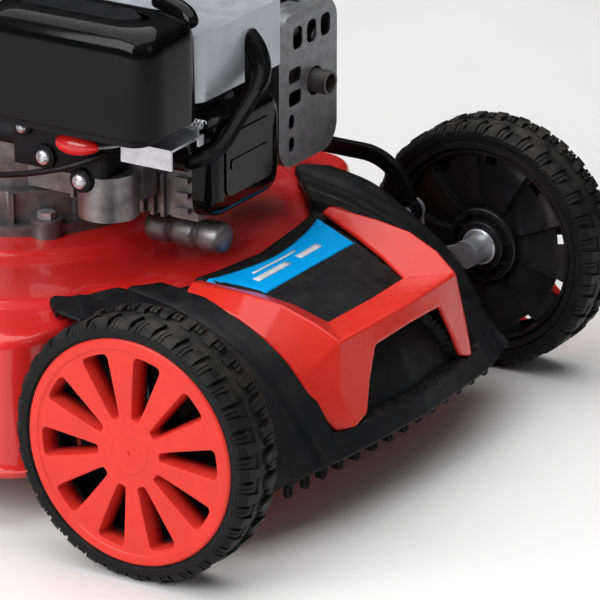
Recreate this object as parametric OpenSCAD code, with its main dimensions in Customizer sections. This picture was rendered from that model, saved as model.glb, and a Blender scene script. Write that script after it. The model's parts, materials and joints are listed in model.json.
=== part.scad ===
// Push lawn mower: pressed steel deck, single cylinder engine, four wheels on
// cranked axles, folding handle. +X is the mower's left, -Y is forward, +Z is up.

/* [Wheels] */
// Diameter of each wheel over the tread
wheel_d = 200; // [170:1:230]
// Width of the tyre
tyre_w = 47; // [38:1:56]
// Distance between the centres of the left and right wheels
track = 500; // [480:1:600]
// Distance between the front and rear wheel centres
wheelbase = 560; // [540:1:620]
// Height of the tread lugs
lug_h = 5; // [2:0.5:7]
// Number of tread lugs in one row
lug_count = 32; // [20:1:40]
// Diameter of the steel axles
axle_d = 12; // [10:0.5:14]
// Radial gap between the axles and what turns on them
axle_gap = 0.06; // [0.02:0.01:0.10]

/* [Deck] */
// Width of the deck behind the front wheels
deck_w = 490; // [450:1:500]
// Thickness of the deck steel
deck_wall = 2; // [1.5:0.1:3]
// Height of the deck's lower edge above the ground
lip_z = 41; // [30:1:50]
// Height of the deck's shoulder above the ground
shoulder_z = 150; // [144:1:155]
// Height of the platform that carries the engine
platform_z = 164; // [158:1:172]
// Distance from the front wheel centres back to the blade's axis
crank_y = 278; // [274:1:290]
// Cutting width of the blade
blade_w = 430; // [400:1:434]

/* [Engine] */
// Outer diameter of the crankshaft
crank_d = 25; // [20:0.5:28]
// Outer radius of the fan housing
housing_r = 112; // [104:1:116]
// Height of the fan housing above the engine platform
housing_top = 206; // [200:1:215]
// Sideways offset of the cylinder from the crankshaft
cyl_x = -24; // [-30:1:-18]
// Bore of the exhaust outlet
outlet_d = 15; // [12:0.5:18]
// Thickness of the moulded covers
cover_wall = 2.4; // [1.8:0.1:3]

/* [Height adjuster] */
// Length of each wheel crank arm
arm_len = 45; // [38:1:48]
// Angle of the wheel arm above the horizontal
arm_angle = 22; // [15:1:28]
// Sideways place of the connecting bar
link_x = 200; // [197:0.5:202]

/* [Handle] */
// Diameter of the handle tube
tube_d = 22; // [19:0.5:25]
// Angle of the handle above the horizontal
handle_angle = 52; // [45:1:58]
// Length of the lower handle
lower_len = 450; // [380:1:520]
// Length of the upper handle
upper_len = 560; // [480:1:620]
// Distance between the tubes of the lower handle
handle_w = 380; // [370:1:390]
// Diameter of the engine stop bar
bail_d = 8; // [6:0.5:10]

/* [Hidden] */
$fn = 48;
eps = 0.01;
bond = 1;
// Clearances
face_gap = 0.3;
seat_gap = 0.05;
spin_gap = 1.2;
// Wheels
wheel_r = wheel_d / 2;
axle_r = axle_d / 2;
bore_r = axle_r + axle_gap;
rim_r = wheel_r - 14;
wheel_in = track / 2 - tyre_w / 2;
wheel_out = track / 2 + tyre_w / 2;
cap_t = 5.5;
// Axle pivots, behind and below the wheel centres
pivot_dy = arm_len * cos(arm_angle);
pivot_z = wheel_r - arm_len * sin(arm_angle);
link_arm = 46;
pin_r = 4;
link_dy = 6;
pin_z = pivot_z + link_arm;
// Plan of the deck
deck_x = deck_w / 2;
deck_y0 = wheel_r + 8;
deck_y1 = wheelbase - wheel_r - 8;
chamber_r = blade_w / 2 + 9;
tail_x = 150;
tail_y = wheelbase + pivot_dy + 14;
tail_z = 60;
shelf_x = 176;
shelf_y0 = -44;
// The shelf is narrower over its foremost part
nose_x = 150;
shelf_step = 24;
shelf_z = 58;
dome_r = 221;
dome_z = shoulder_z + 8;
ring_r = 142;
// Engine heights
sump_z = platform_z + seat_gap;
sump_h = 32;
block_z = sump_z + sump_h + seat_gap;
block_h = 66;
cyl_z = platform_z + 64;
head_y = 95;
cover_y = 72;
front_y = 56;
housing_z = platform_z + housing_top;
housing_low = platform_z + 130;
crank_r = crank_d / 2;
blade_z = lip_z + 15;
// Handle
tube_r = tube_d / 2;
tube_wall = 1.5;
hinge_y = wheelbase + 26;
hinge_z = shoulder_z + 50;
lower_x = handle_w / 2;
upper_x = lower_x + tube_d + 1;
bend_r = 70;
bail_bend = 30;
bolt_r = 4;
grip_r = tube_r + 3;
top_y = hinge_y + (lower_len + upper_len) * cos(handle_angle);
top_z = hinge_z + (lower_len + upper_len) * sin(handle_angle);
// The origin is on the ground under the middle of the whole mower
shift_y = -(top_y + grip_r - wheel_r) / 2;

red = [0.78, 0.07, 0.05];
black = [0.05, 0.05, 0.06];
silver = [0.72, 0.73, 0.74];
steel = [0.6, 0.61, 0.63];

module place() {
    translate([0, shift_y, 0]) children();
}

// ---------- shared shapes ----------

module round_box(x0, x1, y0, y1, r) {
    translate([x0 + r, y0]) square([x1 - x0 - 2 * r, y1 - y0]);
    translate([x0, y0 + r]) square([x1 - x0, y1 - y0 - 2 * r]);
    for (x = [x0 + r, x1 - r], y = [y0 + r, y1 - r]) translate([x, y]) circle(r);
}

module block_at(x0, x1, y0, y1, z0, z1, r = 4) {
    translate([0, 0, z0]) linear_extrude(z1 - z0) round_box(x0, x1, y0, y1, r);
}

module box_at(x0, x1, y0, y1, z0, z1) {
    translate([x0, y0, z0]) cube([x1 - x0, y1 - y0, z1 - z0]);
}

module x_rod(x0, x1, y, z, r) {
    translate([x0, y, z]) rotate([0, 90, 0]) cylinder(h = x1 - x0, r = r);
}

module y_rod(y0, y1, x, z, r) {
    translate([x, y0, z]) rotate([-90, 0, 0]) cylinder(h = y1 - y0, r = r);
}

module z_rod(z0, z1, x, y, r) {
    translate([x, y, z0]) cylinder(h = z1 - z0, r = r);
}

// Outline in the Y-Z plane, drawn out along X
module side_plate(x0, x1) {
    translate([x0, 0, 0]) rotate([90, 0, 90]) linear_extrude(x1 - x0) children();
}

// Outline in the X-Z plane, drawn out along Y
module face_plate(y0, y1) {
    translate([0, y1, 0]) rotate([90, 0, 0]) linear_extrude(y1 - y0) children();
}

module both_sides() {
    children();
    mirror([1, 0, 0]) children();
}

function unit(v) = v / norm(v);
function blend_at(p, i, t) = let(
        a = p[max(i - 1, 0)], b = p[i], c = p[i + 1], d = p[min(i + 2, len(p) - 1)])
    0.5 * ((2 * b) + (c - a) * t + (2 * a - 5 * b + 4 * c - d) * t * t
        + (3 * b - a - 3 * c + d) * t * t * t);
function smooth_path(p, n) = concat(
    [for (i = [0 : len(p) - 2], k = [0 : n - 1]) blend_at(p, i, k / n)], [p[len(p) - 1]]);
function direction(p, i) = unit(p[min(i + 1, len(p) - 1)] - p[max(i - 1, 0)]);

// Round tube swept along points, with eight sides
module swept(path, r, side = [1, 0.02, 0.03], sides = 8) {
    n = len(path);
    points = [for (i = [0 : n - 1]) let(
            t = direction(path, i), u = unit(cross(t, side)), v = cross(t, u))
        for (k = [0 : sides - 1]) path[i] + r * (cos(360 * k / sides) * u + sin(360 * k / sides) * v)];
    walls = [for (i = [0 : n - 2], k = [0 : sides - 1]) let(m = (k + 1) % sides)
        [i * sides + k, (i + 1) * sides + k, (i + 1) * sides + m, i * sides + m]];
    ends = [[for (k = [0 : sides - 1]) k], [for (k = [sides - 1 : -1 : 0]) (n - 1) * sides + k]];
    polyhedron(points, concat(walls, ends), convexity = 6);
}

// Closed skin between two grids of points, rows[i][j] outside and inside
function halves(q) = [[q[0], q[1], q[2]], [q[0], q[2], q[3]]];
module skin(outer, inner) {
    n = len(outer);
    m = len(outer[0]);
    o = n * m;
    function q(i, j) = i * m + j;
    quads = concat(
        [for (i = [0 : n - 2], j = [0 : m - 2])
            [q(i, j), q(i, j + 1), q(i + 1, j + 1), q(i + 1, j)]],
        [for (i = [0 : n - 2], j = [0 : m - 2])
            [o + q(i, j), o + q(i + 1, j), o + q(i + 1, j + 1), o + q(i, j + 1)]],
        [for (i = [0 : n - 2]) [q(i, 0), q(i + 1, 0), o + q(i + 1, 0), o + q(i, 0)]],
        [for (i = [0 : n - 2])
            [q(i + 1, m - 1), q(i, m - 1), o + q(i, m - 1), o + q(i + 1, m - 1)]],
        [for (j = [0 : m - 2]) [q(0, j + 1), q(0, j), o + q(0, j), o + q(0, j + 1)]],
        [for (j = [0 : m - 2])
            [q(n - 1, j), q(n - 1, j + 1), o + q(n - 1, j + 1), o + q(n - 1, j)]]);
    polyhedron(concat([for (r = outer) for (p = r) p], [for (r = inner) for (p = r) p]),
        [for (f = quads) for (h = halves(f)) h], convexity = 8);
}

// ---------- deck ----------

// Distance from the blade's axis to the deck's side in direction a: a squared
// outline between the wheels' front and rear limits, never inside the chamber
squareness = 10;
function side_r(a) = let(c = abs(cos(a)) / deck_x,
        d = abs(sin(a)) / (sin(a) < 0 ? crank_y - deck_y0 : deck_y1 - crank_y))
    max(pow(pow(c, squareness) + pow(d, squareness), -1 / squareness), chamber_r + deck_wall);

module deck_plan(inset) {
    translate([0, crank_y]) polygon([for (a = [0 : 4 : 356])
        (side_r(a) - inset) * [cos(a), sin(a)]]);
}

module deck_ring(z0, h, outside, inside) {
    translate([0, 0, z0]) linear_extrude(h) difference() {
        deck_plan(outside);
        deck_plan(inside);
    }
}

// Raised dome that carries the engine
module dome() {
    t = deck_wall;
    at_crank() rotate_extrude() polygon([[crank_r + 22, platform_z - t], [ring_r - 3, platform_z - t],
        [ring_r + 3, dome_z + 1 - t], [ring_r + 12, dome_z - t], [dome_r - 16, dome_z - 3 - t],
        [dome_r - 7, dome_z - 5 - t], [dome_r, shoulder_z - t * 0.7], [dome_r, shoulder_z - t * 0.3],
        [dome_r - 5, dome_z - 5], [dome_r - 14, dome_z - 2], [ring_r + 14, dome_z],
        [ring_r + 6, dome_z + 1.5], [ring_r, platform_z], [crank_r + 22, platform_z]]);
}

module deck() color(red) {
    t = deck_wall;
    difference() {
        union() {
            deck_ring(lip_z, shoulder_z - lip_z - bond, 0, t);
            deck_ring(lip_z, 5, -4, bond);
            translate([0, 0, shoulder_z - t]) linear_extrude(t) difference() {
                deck_plan(0);
                translate([0, crank_y]) circle(dome_r - 4 * bond);
            }
        }
        // Where the clippings leave the chamber
        box_at(-tail_x + t, tail_x - t, crank_y, tail_y, lip_z - 1, shoulder_z - t - 0.5);
    }
    difference() {
        dome();
        engine_bolt_places() z_rod(shoulder_z, platform_z + 1, 0, 0, 4.2);
    }
    // Rear tunnel
    difference() {
        for (s = [-1, 1]) translate([s * (tail_x - t / 2), 0, 0])
            box_at(-t / 2, t / 2, deck_y1 - 4, tail_y, tail_z, shoulder_z - bond);
        x_rod(-deck_x, deck_x, wheelbase + pivot_dy, pivot_z, axle_r + spin_gap);
    }
    difference() {
        box_at(-lower_x + 4, lower_x - 4, deck_y1 - 4, tail_y, shoulder_z - t, shoulder_z);
        at_crank() z_rod(shoulder_z - t - 1, shoulder_z + 1, 0, 0, dome_r - 4 * bond);
    }
    // Shelf in front of the chamber, under the cover
    difference() {
        union() {
            box_at(-shelf_x, shelf_x, shelf_y0 + shelf_step, deck_y0 + 12, shelf_z, shelf_z + t);
            box_at(-nose_x, nose_x, shelf_y0, shelf_y0 + shelf_step + bond, shelf_z, shelf_z + t);
        }
        translate([0, 0, shelf_z - 1]) linear_extrude(t + 2) deck_plan(bond);
    }
    box_at(-nose_x, nose_x, shelf_y0, shelf_y0 + t, shelf_z - 10, shelf_z + 4);
}

// ---------- front cover ----------

// Heights of the moulding's outer skin at eight rows from back to lower edge, for
// distances from the middle of the mower: [distance, row 0 .. row 7] as [y, z]
cover_rows = [
    [0, [58, 158], [18, 155], [-22, 144], [-50, 131], [-66, 112], [-76, 92], [-83, 74], [-88, 57]],
    [88, [66, 158], [22, 153], [-20, 139], [-46, 121], [-62, 99], [-70, 82], [-77, 68], [-83, 57]],
    [112, [84, 158], [42, 156], [2, 143], [-26, 125], [-48, 101], [-61, 82], [-71, 67], [-79, 56]],
    [135, [103, 158], [60, 152], [18, 138], [-12, 120], [-37, 97], [-53, 78], [-64, 64], [-72, 54]],
    [160, [124, 157], [78, 149], [34, 133], [2, 113], [-24, 90], [-41, 71], [-53, 58], [-62, 50]],
    [172, [132, 159], [88, 152], [42, 135], [9, 112], [-17, 87], [-34, 68], [-47, 55], [-57, 46]],
    [190, [115, 156], [76, 149], [42, 131], [8, 108], [-14, 84], [-27, 62], [-37, 50], [-48, 41]]];
function row_at(x, k) = [lookup(abs(x), [for (r = cover_rows) [r[0], r[k + 1][0]]]),
    lookup(abs(x), [for (r = cover_rows) [r[0], r[k + 1][1]]])];
// Point on the skin at distance x and row t, raised by h up and forward
function skin_at(x, t, h) = let(k = min(floor(t), 6), a = row_at(x, k), b = row_at(x, k + 1),
        p = a + (b - a) * (t - k))
    [x, p[0] - 0.6 * h, p[1] + 0.8 * h];
cover_x = [-190, -172, -160, -135, -112, -88, -44, 0, 44, 88, 112, 135, 160, 172, 190];

module front_cover() color(black) {
    outer = [for (x = cover_x) [for (t = [0 : 7]) skin_at(x, t, 0)]];
    inner = [for (x = cover_x) [for (t = [0 : 7]) skin_at(x, t, -cover_wall * 1.3)]];
    skin(outer, inner);
}

// The glossy frame on the cover: two legs with horns, and a bar across the front
// Each row of a leg: [row on the cover, inner edge, outer edge, height]
leg_rows = [[0.2, 84, 108, 4], [1, 74, 111, 4], [1.8, 66, 112, 4.5], [2.6, 66, 112, 6],
    [3.3, 72, 112, 10], [4, 78, 110, 9], [5.1, 76, 105, 6], [6.3, 70, 99, 4]];
trim_lift = 2;
bar_lift = 4;
module trim_leg() {
    steps = 4;
    skin([for (r = leg_rows) [for (k = [steps : -1 : 0])
            skin_at(r[1] + (r[2] - r[1]) * k / steps, r[0], r[3])]],
        [for (r = leg_rows) [for (k = [steps : -1 : 0])
            skin_at(r[1] + (r[2] - r[1]) * k / steps, r[0], trim_lift)]]);
}

bar_rows = [[2.9, 7], [3.2, 12], [3.9, 12], [4.3, 7]];
module front_trim() color(red) {
    steps = 8;
    skin([for (i = [-steps : steps]) [for (r = bar_rows) skin_at(74 * i / steps, r[0], r[1])]],
        [for (i = [-steps : steps]) [for (r = bar_rows) skin_at(74 * i / steps, r[0], bar_lift)]]);
    both_sides() trim_leg();
}

// Row of short round-ended teeth that hangs under the cover's lower edge
comb_count = 14;
comb_z0 = 30;
module front_comb() color(black) {
    box_at(-150, 150, -58, -52, shelf_z - 14, shelf_z - 10.5);
    for (i = [0 : comb_count - 1]) {
        x = -143 + 286 * i / (comb_count - 1);
        box_at(x - 5, x + 5, -66 + abs(x) / 20, -52, comb_z0 + 8, shelf_z - 11);
        y_rod(-66 + abs(x) / 20, -52, x, comb_z0 + 8, 5);
    }
    box_at(-150, 150, -52, shelf_y0 - seat_gap, shelf_z - 16, shelf_z - 10.5);
}

// ---------- running gear ----------

bearing_x = 158;
module axle_bearings() color(black) {
    for (s = [-1, 1]) {
        difference() {
            block_at(s * bearing_x - 8, s * bearing_x + 8, pivot_dy - 16, pivot_dy + 16,
                shelf_z + deck_wall + seat_gap, pivot_z + axle_r + 8, 3);
            x_rod(-deck_x, deck_x, pivot_dy, pivot_z, bore_r);
        }
        difference() {
            side_plate(s > 0 ? tail_x + seat_gap : -tail_x - 12 - seat_gap,
                s > 0 ? tail_x + 12 + seat_gap : -tail_x - seat_gap)
                round_box(wheelbase + pivot_dy - 13, wheelbase + pivot_dy + 13,
                    pivot_z - 13, pivot_z + 13, 4);
            x_rod(-deck_x, deck_x, wheelbase + pivot_dy, pivot_z, bore_r);
        }
    }
}

arm_x0 = link_x + 4.3;
arm_x1 = arm_x0 + 7;
stub_len = wheel_out - 8 - arm_x1;
// Flat arm between two centres given as [y, z]
module arm_plate(x0, x1, a, b, r) {
    side_plate(x0, x1) union() {
        translate(a) circle(r);
        translate(b) circle(r);
        translate((a + b) / 2) rotate(atan2((b - a)[1], (b - a)[0]))
            square([norm(b - a), 2 * r - 4], center = true);
    }
}

module axle(y) color(steel) {
    x_rod(-arm_x0 - bond, arm_x0 + bond, y + pivot_dy, pivot_z, axle_r);
    both_sides() {
        arm_plate(arm_x0, arm_x1, [y + pivot_dy, pivot_z], [y, wheel_r], axle_r + 5);
        x_rod(arm_x1 - bond, arm_x1 + stub_len, y, wheel_r, axle_r);
        x_rod(arm_x1 - bond, wheel_in + 1, y, wheel_r, axle_r + 4);
        x_rod(wheel_out - 7.6, wheel_out - 5, y, wheel_r, axle_r + 3);
    }
    arm_plate(arm_x0 + 2, arm_x1 - 2, [y + pivot_dy, pivot_z], [y + pivot_dy + link_dy, pin_z], 9);
    x_rod(link_x - 8, arm_x0 + 2 + bond, y + pivot_dy + link_dy, pin_z, pin_r);
}

module front_axle() axle(0);
module rear_axle() axle(wheelbase);

// Arched bar that makes the front and rear axles swing together
link_t = 12;
link_bend = 42;
function link_edge(y0, y1, r) = concat([[y0 + link_bend - r, pin_z]],
    [for (a = [180 : -15 : 90]) [y0 + link_bend + r * cos(a), pin_z + r * sin(a)]],
    [for (a = [90 : -15 : 0]) [y1 - link_bend + r * cos(a), pin_z + r * sin(a)]],
    [[y1 - link_bend + r, pin_z]]);
function reversed(v) = [for (i = [len(v) - 1 : -1 : 0]) v[i]];
module height_link() color(black) {
    y0 = pivot_dy + link_dy;
    y1 = wheelbase + pivot_dy + link_dy;
    difference() {
        side_plate(link_x - 3.5, link_x + 3.5) union() {
            translate([y0, pin_z]) circle(10);
            translate([y1, pin_z]) circle(10);
            polygon(concat(link_edge(y0, y1, link_bend + link_t / 2),
                reversed(link_edge(y0, y1, link_bend - link_t / 2))));
        }
        x_rod(0, deck_x, y0, pin_z, pin_r + axle_gap);
        // The rear eye is opened, so the two cranks need not match exactly
        x_rod(0, deck_x, y1, pin_z, pin_r + 0.5);
    }
}

// Hand lever on the left end of the rear axle
module height_lever() color(black) {
    x0 = arm_x1 + seat_gap;
    y = wheelbase + pivot_dy;
    arm_plate(x0, x0 + 4, [y, pivot_z], [y + 26, pivot_z + 110], 9);
    x_rod(x0 - 2, x0 + 26, y + 28, pivot_z + 122, 11);
}

module gear_row(x0, x1, turn) {
    pitch = 360 / lug_count;
    side_plate(x0, x1) polygon([for (i = [0 : lug_count - 1], k = [0 : 3])
        let(a = pitch * (i + [0.06, 0.16, 0.62, 0.72][k]) + turn,
            r = (k == 0 || k == 3) ? wheel_r - lug_h : wheel_r) [r * cos(a), r * sin(a)]]);
}

module wheel_place(s, y) {
    translate([0, y, wheel_r]) mirror([s > 0 ? 0 : 1, 0, 0]) children();
}

module tyre(s, y) color([0.06, 0.06, 0.06]) wheel_place(s, y) difference() {
    union() {
        x_rod(wheel_in, wheel_out, 0, 0, wheel_r - lug_h + 0.5);
        gear_row(wheel_in + 2, track / 2 - 2, 0);
        gear_row(track / 2 + 2, wheel_out - 2, 180 / lug_count);
    }
    x_rod(wheel_in - 1, wheel_out + 1, 0, 0, rim_r);
}

spoke_count = 10;
hub_r = 16;
module rim(s, y) color(black) wheel_place(s, y) difference() {
    union() {
        difference() {
            x_rod(wheel_in + 3, wheel_out - cap_t - seat_gap, 0, 0, rim_r - seat_gap);
            x_rod(wheel_in, wheel_out, 0, 0, rim_r - 7);
        }
        x_rod(wheel_in + 1.3, wheel_out - cap_t - 3, 0, 0, hub_r);
        x_rod(wheel_in + 14, wheel_in + 18, 0, 0, rim_r - 4);
        for (i = [0 : spoke_count - 1]) rotate([i * 36, 0, 0])
            box_at(wheel_in + 8, wheel_out - cap_t - 4, -1.5, 1.5, hub_r - 2, rim_r - 4);
    }
    x_rod(wheel_in, wheel_out, 0, 0, bore_r);
    x_rod(wheel_out - 14, wheel_out, 0, 0, axle_r + 6);
    for (i = [0 : spoke_count - 1]) rotate([i * 36 + 18, 0, 0]) side_plate(wheel_in, wheel_in + 20)
        cap_window();
}

module cap_window() {
    polygon([[26, -5], [26, 5], [rim_r - 16, 12.5], [rim_r - 11, 8.5], [rim_r - 11, -8.5],
        [rim_r - 16, -12.5]]);
    translate([26, 0]) circle(5);
    for (s = [-1, 1]) translate([rim_r - 16, s * 8]) circle(5);
}

module cap(s, y) color([0.8, 0.08, 0.05]) wheel_place(s, y) difference() {
    union() {
        x_rod(wheel_out - cap_t, wheel_out - 1.5, 0, 0, rim_r - seat_gap);
        x_rod(wheel_out - cap_t, wheel_out, 0, 0, hub_r + 0.6);
        difference() {
            x_rod(wheel_out - cap_t, wheel_out, 0, 0, rim_r - seat_gap);
            x_rod(wheel_out - cap_t, wheel_out + 1, 0, 0, rim_r - 7);
        }
    }
    for (i = [0 : spoke_count - 1]) rotate([i * 36 + 18, 0, 0])
        side_plate(wheel_out - cap_t - 1, wheel_out + 1) cap_window();
    x_rod(wheel_out - cap_t - 1, wheel_out - 3.5, 0, 0, axle_r + 5);
}

// ---------- engine ----------

module at_crank() {
    translate([0, crank_y, 0]) children();
}

module engine_bolt_places() {
    for (a = [45, 135, 225, 315]) translate([104 * cos(a), crank_y + 104 * sin(a), 0]) children();
}

module engine_sump() color(silver) difference() {
    union() {
        at_crank() z_rod(sump_z, sump_z + sump_h, 0, 0, 94);
        at_crank() z_rod(sump_z, sump_z + 8, 0, 0, 106);
        engine_bolt_places() z_rod(sump_z, sump_z + 14, 0, 0, 12);
        for (a = [0 : 30 : 330]) at_crank() rotate(a) box_at(92, 100, -2, 2, sump_z, sump_z + sump_h);
    }
    at_crank() z_rod(sump_z - 1, sump_z + sump_h + 1, 0, 0, crank_r + axle_gap);
    at_crank() difference() {
        z_rod(sump_z + 8, sump_z + sump_h + 1, 0, 0, 84);
        z_rod(sump_z, sump_z + sump_h, 0, 0, crank_r + 8);
    }
    engine_bolt_places() z_rod(sump_z - 1, sump_z + 15, 0, 0, 4.2);
}

fin_x = 58;
fin_out = 4;
bore_half = 42;
block_r = 84;
// Inlet and exhaust ports on the two sides of the cylinder
inlet_y = 122;
inlet_z = cyl_z + 10;
port_r = 12;
exhaust_y = 132;
pipe_r = 10;
module engine_block() color(silver) difference() {
    union() {
        at_crank() z_rod(block_z, block_z + block_h, 0, 0, block_r);
        box_at(cyl_x - bore_half, cyl_x + bore_half, head_y, crank_y - 40, block_z + 2,
            block_z + block_h);
        for (y = [head_y + 6 : 9 : crank_y - 90])
            box_at(cyl_x - bore_half - fin_out, cyl_x + fin_x - 6, y, y + 3, block_z + 1,
                block_z + block_h + 6);
    }
    x_rod(cyl_x - fin_x, cyl_x - bore_half, inlet_y, inlet_z, port_r + 1);
    x_rod(cyl_x + bore_half, cyl_x + fin_x, exhaust_y, cyl_z, pipe_r + 1);
    at_crank() z_rod(block_z - 1, block_z + block_h - 10, 0, 0, 68);
    at_crank() z_rod(block_z, block_z + block_h + 9, 0, 0, crank_r + axle_gap);
    y_rod(head_y - 1, crank_y - 20, cyl_x, cyl_z, 30);
}

module cylinder_head() color(silver) difference() {
    union() {
        box_at(cyl_x - 44, cyl_x + 46, cover_y, head_y - seat_gap, block_z + 2, block_z + block_h + 4);
        for (z = [block_z + 8 : 12 : block_z + block_h])
            box_at(cyl_x - 49, cyl_x + fin_x - 6, cover_y + 6, head_y - 6, z, z + 4);
    }
    y_rod(head_y - 8, head_y + 1, cyl_x, cyl_z, 26);
    x_rod(cyl_x - 60, cyl_x - 20, cover_y + 12, cyl_z + 24, 7.05);
}

module rocker_cover() color(black) {
    face_plate(front_y, cover_y - seat_gap) round_box(cyl_x - 52, cyl_x + 44, block_z + 6,
        block_z + block_h + 20, 12);
    y_rod(front_y - 3, front_y + eps, cyl_x - 30, block_z + block_h + 4, 7);
    face_plate(front_y - 1.5, front_y + eps) round_box(cyl_x - 16, cyl_x + 30, block_z + 22,
        block_z + 62, 6);
}

plug_y = cover_y + 12;
plug_z = cyl_z + 24;
module spark_plug() color([0.9, 0.9, 0.88]) {
    x_rod(cyl_x - 50, cyl_x - 22, plug_y, plug_z, 7);
    x_rod(cyl_x - 60, cyl_x - 50 + eps, plug_y, plug_z, 5.5);
}

// The lead leaves the fan housing's slot and bends down to the plug
lead_route = [[-6, 70, 326], [-6, 58, 308], [-22, 49, 294], [-52, 45, 280], [-80, 47, 262],
    [-92, 64, 253]];
module plug_lead() color(black) {
    swept(smooth_path(lead_route, 4), 5.5, [0.1, 1, 0.2]);
    difference() {
        x_rod(cyl_x - 74, cyl_x - 51, plug_y, plug_z, 9);
        x_rod(cyl_x - 61, cyl_x - 50, plug_y, plug_z, 5.5 + seat_gap);
    }
    y_rod(64, plug_y - 4, cyl_x - 68, plug_z, 6);
}

module ignition_coil() color(black) {
    box_at(-30, 18, crank_y - 108, crank_y - 96.5 + 0, housing_low + 8, housing_low + 30);
}

module fan_housing() color(silver) difference() {
    union() {
        at_crank() z_rod(housing_low, housing_z - 14, 0, 0, housing_r);
        at_crank() z_rod(housing_z - 14 - eps, housing_z - 6, 0, 0, housing_r - 8);
        at_crank() z_rod(housing_z - 6 - eps, housing_z, 0, 0, 66);
        block_at(-78, 42, 64, crank_y, housing_low, housing_z - 24, 10);
    }
    at_crank() z_rod(housing_low - 1, housing_z - 16, 0, 0, housing_r - 1.6);
    at_crank() z_rod(housing_z - 18, housing_z - 8, 0, 0, housing_r - 12);
    at_crank() z_rod(housing_z - 10, housing_z - 2, 0, 0, 62);
    block_at(-78 + 1.6, 42 - 1.6, 64 + 1.6, crank_y, housing_low - 1, housing_z - 26, 9);
    // Slot for the spark plug lead
    box_at(-15, 3, 60, 70, housing_low - 1, housing_low + 30);
    y_rod(60, 70, -6, housing_low + 30, 9);
    // Air grille over the fan
    for (r = [20, 34, 48]) for (a = [0 : 45 : 315]) at_crank() rotate(a)
        box_at(r, r + 9, -5, 5, housing_z - 4, housing_z + 1);
    y_rod(crank_y + 60, crank_y + housing_r + 2, 54, housing_z - 28, 3.2);
}

air_x0 = -166;
air_x1 = -90;
air_y0 = 54;
air_y1 = 206;
air_z0 = platform_z + 126;
air_z1 = platform_z + 206;
module air_cleaner_base() color(black) {
    block_at(air_x0 + 4, air_x1 - 4, air_y0 + 6, air_y1 - 6, air_z0 - 6, air_z0 - seat_gap, 14);
    box_at(air_x0 + 30, air_x1 - 8, air_y0 + 80, air_y1 - 30, air_z0 - 10, air_z0 - 6 + eps);
}

module air_filter() color([0.85, 0.8, 0.6]) {
    block_at(air_x0 + 14, air_x1 - 14, air_y0 + 18, air_y1 - 18, air_z0 + seat_gap,
        air_z0 + 46, 10);
}

module air_cleaner_cover() color(black) difference() {
    union() {
        block_at(air_x0, air_x1, air_y0, air_y1, air_z0, air_z1 - 6, 18);
        block_at(air_x0 + 5, air_x1 - 5, air_y0 + 5, air_y1 - 5, air_z1 - 6 - eps, air_z1, 14);
        box_at(air_x0 + 34, air_x0 + 52, air_y0 - 4, air_y0 + 30, air_z1 - 4, air_z1 + 2);
    }
    block_at(air_x0 + cover_wall, air_x1 - cover_wall, air_y0 + cover_wall,
        air_y1 - cover_wall, air_z0 - 1, air_z1 - 8, 16);
}

module intake_body() color(black) {
    block_at(-124, -91, 118, 200, cyl_z + 11, air_z0 - 10.3, 5);
    y_rod(199, 226, -108, cyl_z + 28, 9);
}

flange_x = cyl_x - bore_half - fin_out - 1;
module carburettor() color(silver) {
    z_rod(cyl_z - 24, cyl_z + 10.7, -100, 130, 23);
    z_rod(cyl_z - 29, cyl_z - 24 + eps, -100, 130, 6);
    box_at(-90, flange_x, 106, 152, cyl_z - 12, cyl_z + 34);
    x_rod(flange_x - bond, cyl_x - bore_half - seat_gap, inlet_y, inlet_z, port_r);
}

module control_bracket() color(silver) difference() {
    union() {
        box_at(-122, -84, 60, 104, air_z0 - 20, air_z0 - 18);
        box_at(-122, -120, 60, 104, air_z0 - 34, air_z0 - 18);
        box_at(-84 - eps, cyl_x - 53.5, 60, 62, air_z0 - 26, air_z0 - 18);
        box_at(-86, -84, 60, 104, air_z0 - 20 + eps, air_z0 - 10);
    }
    z_rod(air_z0 - 22, air_z0 - 16, -112, 94, 2.5 + axle_gap);
}

module throttle_lever() color(red) {
    z_rod(air_z0 - 24, air_z0 - 12, -112, 94, 2.5);
    z_rod(air_z0 - 17.6, air_z0 - 15.6, -112, 94, 7);
    box_at(-140, -110, 92, 96, air_z0 - 17.6, air_z0 - 15.6);
    box_at(-141, -137, 92, 128, air_z0 - 18, air_z0 - 15.4);
    z_rod(air_z0 - 24, air_z0 - 12, -139, 130, 8);
}

muf_x0 = 36;
muf_x1 = 124;
muf_y0 = 84;
guard_x0 = 46;
guard_x1 = 130;
guard_z0 = platform_z + 38;
guard_z1 = platform_z + 160;
outlet_x = 98;
outlet_z = platform_z + 98;
module muffler() color([0.45, 0.45, 0.46]) difference() {
    union() {
        face_plate(muf_y0, 150) round_box(muf_x0 + 8, muf_x1, guard_z0 + 8, guard_z1 - 12, 24);
        x_rod(cyl_x + bore_half + seat_gap, muf_x0 + 14, exhaust_y, cyl_z, pipe_r);
        y_rod(58, muf_y0 + eps, outlet_x, outlet_z, outlet_d / 2 + 2);
    }
    y_rod(57, muf_y0, outlet_x, outlet_z, outlet_d / 2);
    face_plate(muf_y0 + 2, 148) round_box(muf_x0 + 10, muf_x1 - 2, guard_z0 + 10, guard_z1 - 14, 22);
}

module guard_outline(inset) {
    round_box(guard_x0 + inset, guard_x1 - inset, guard_z0 + inset, guard_z1 - inset, 20 - inset);
}

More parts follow.
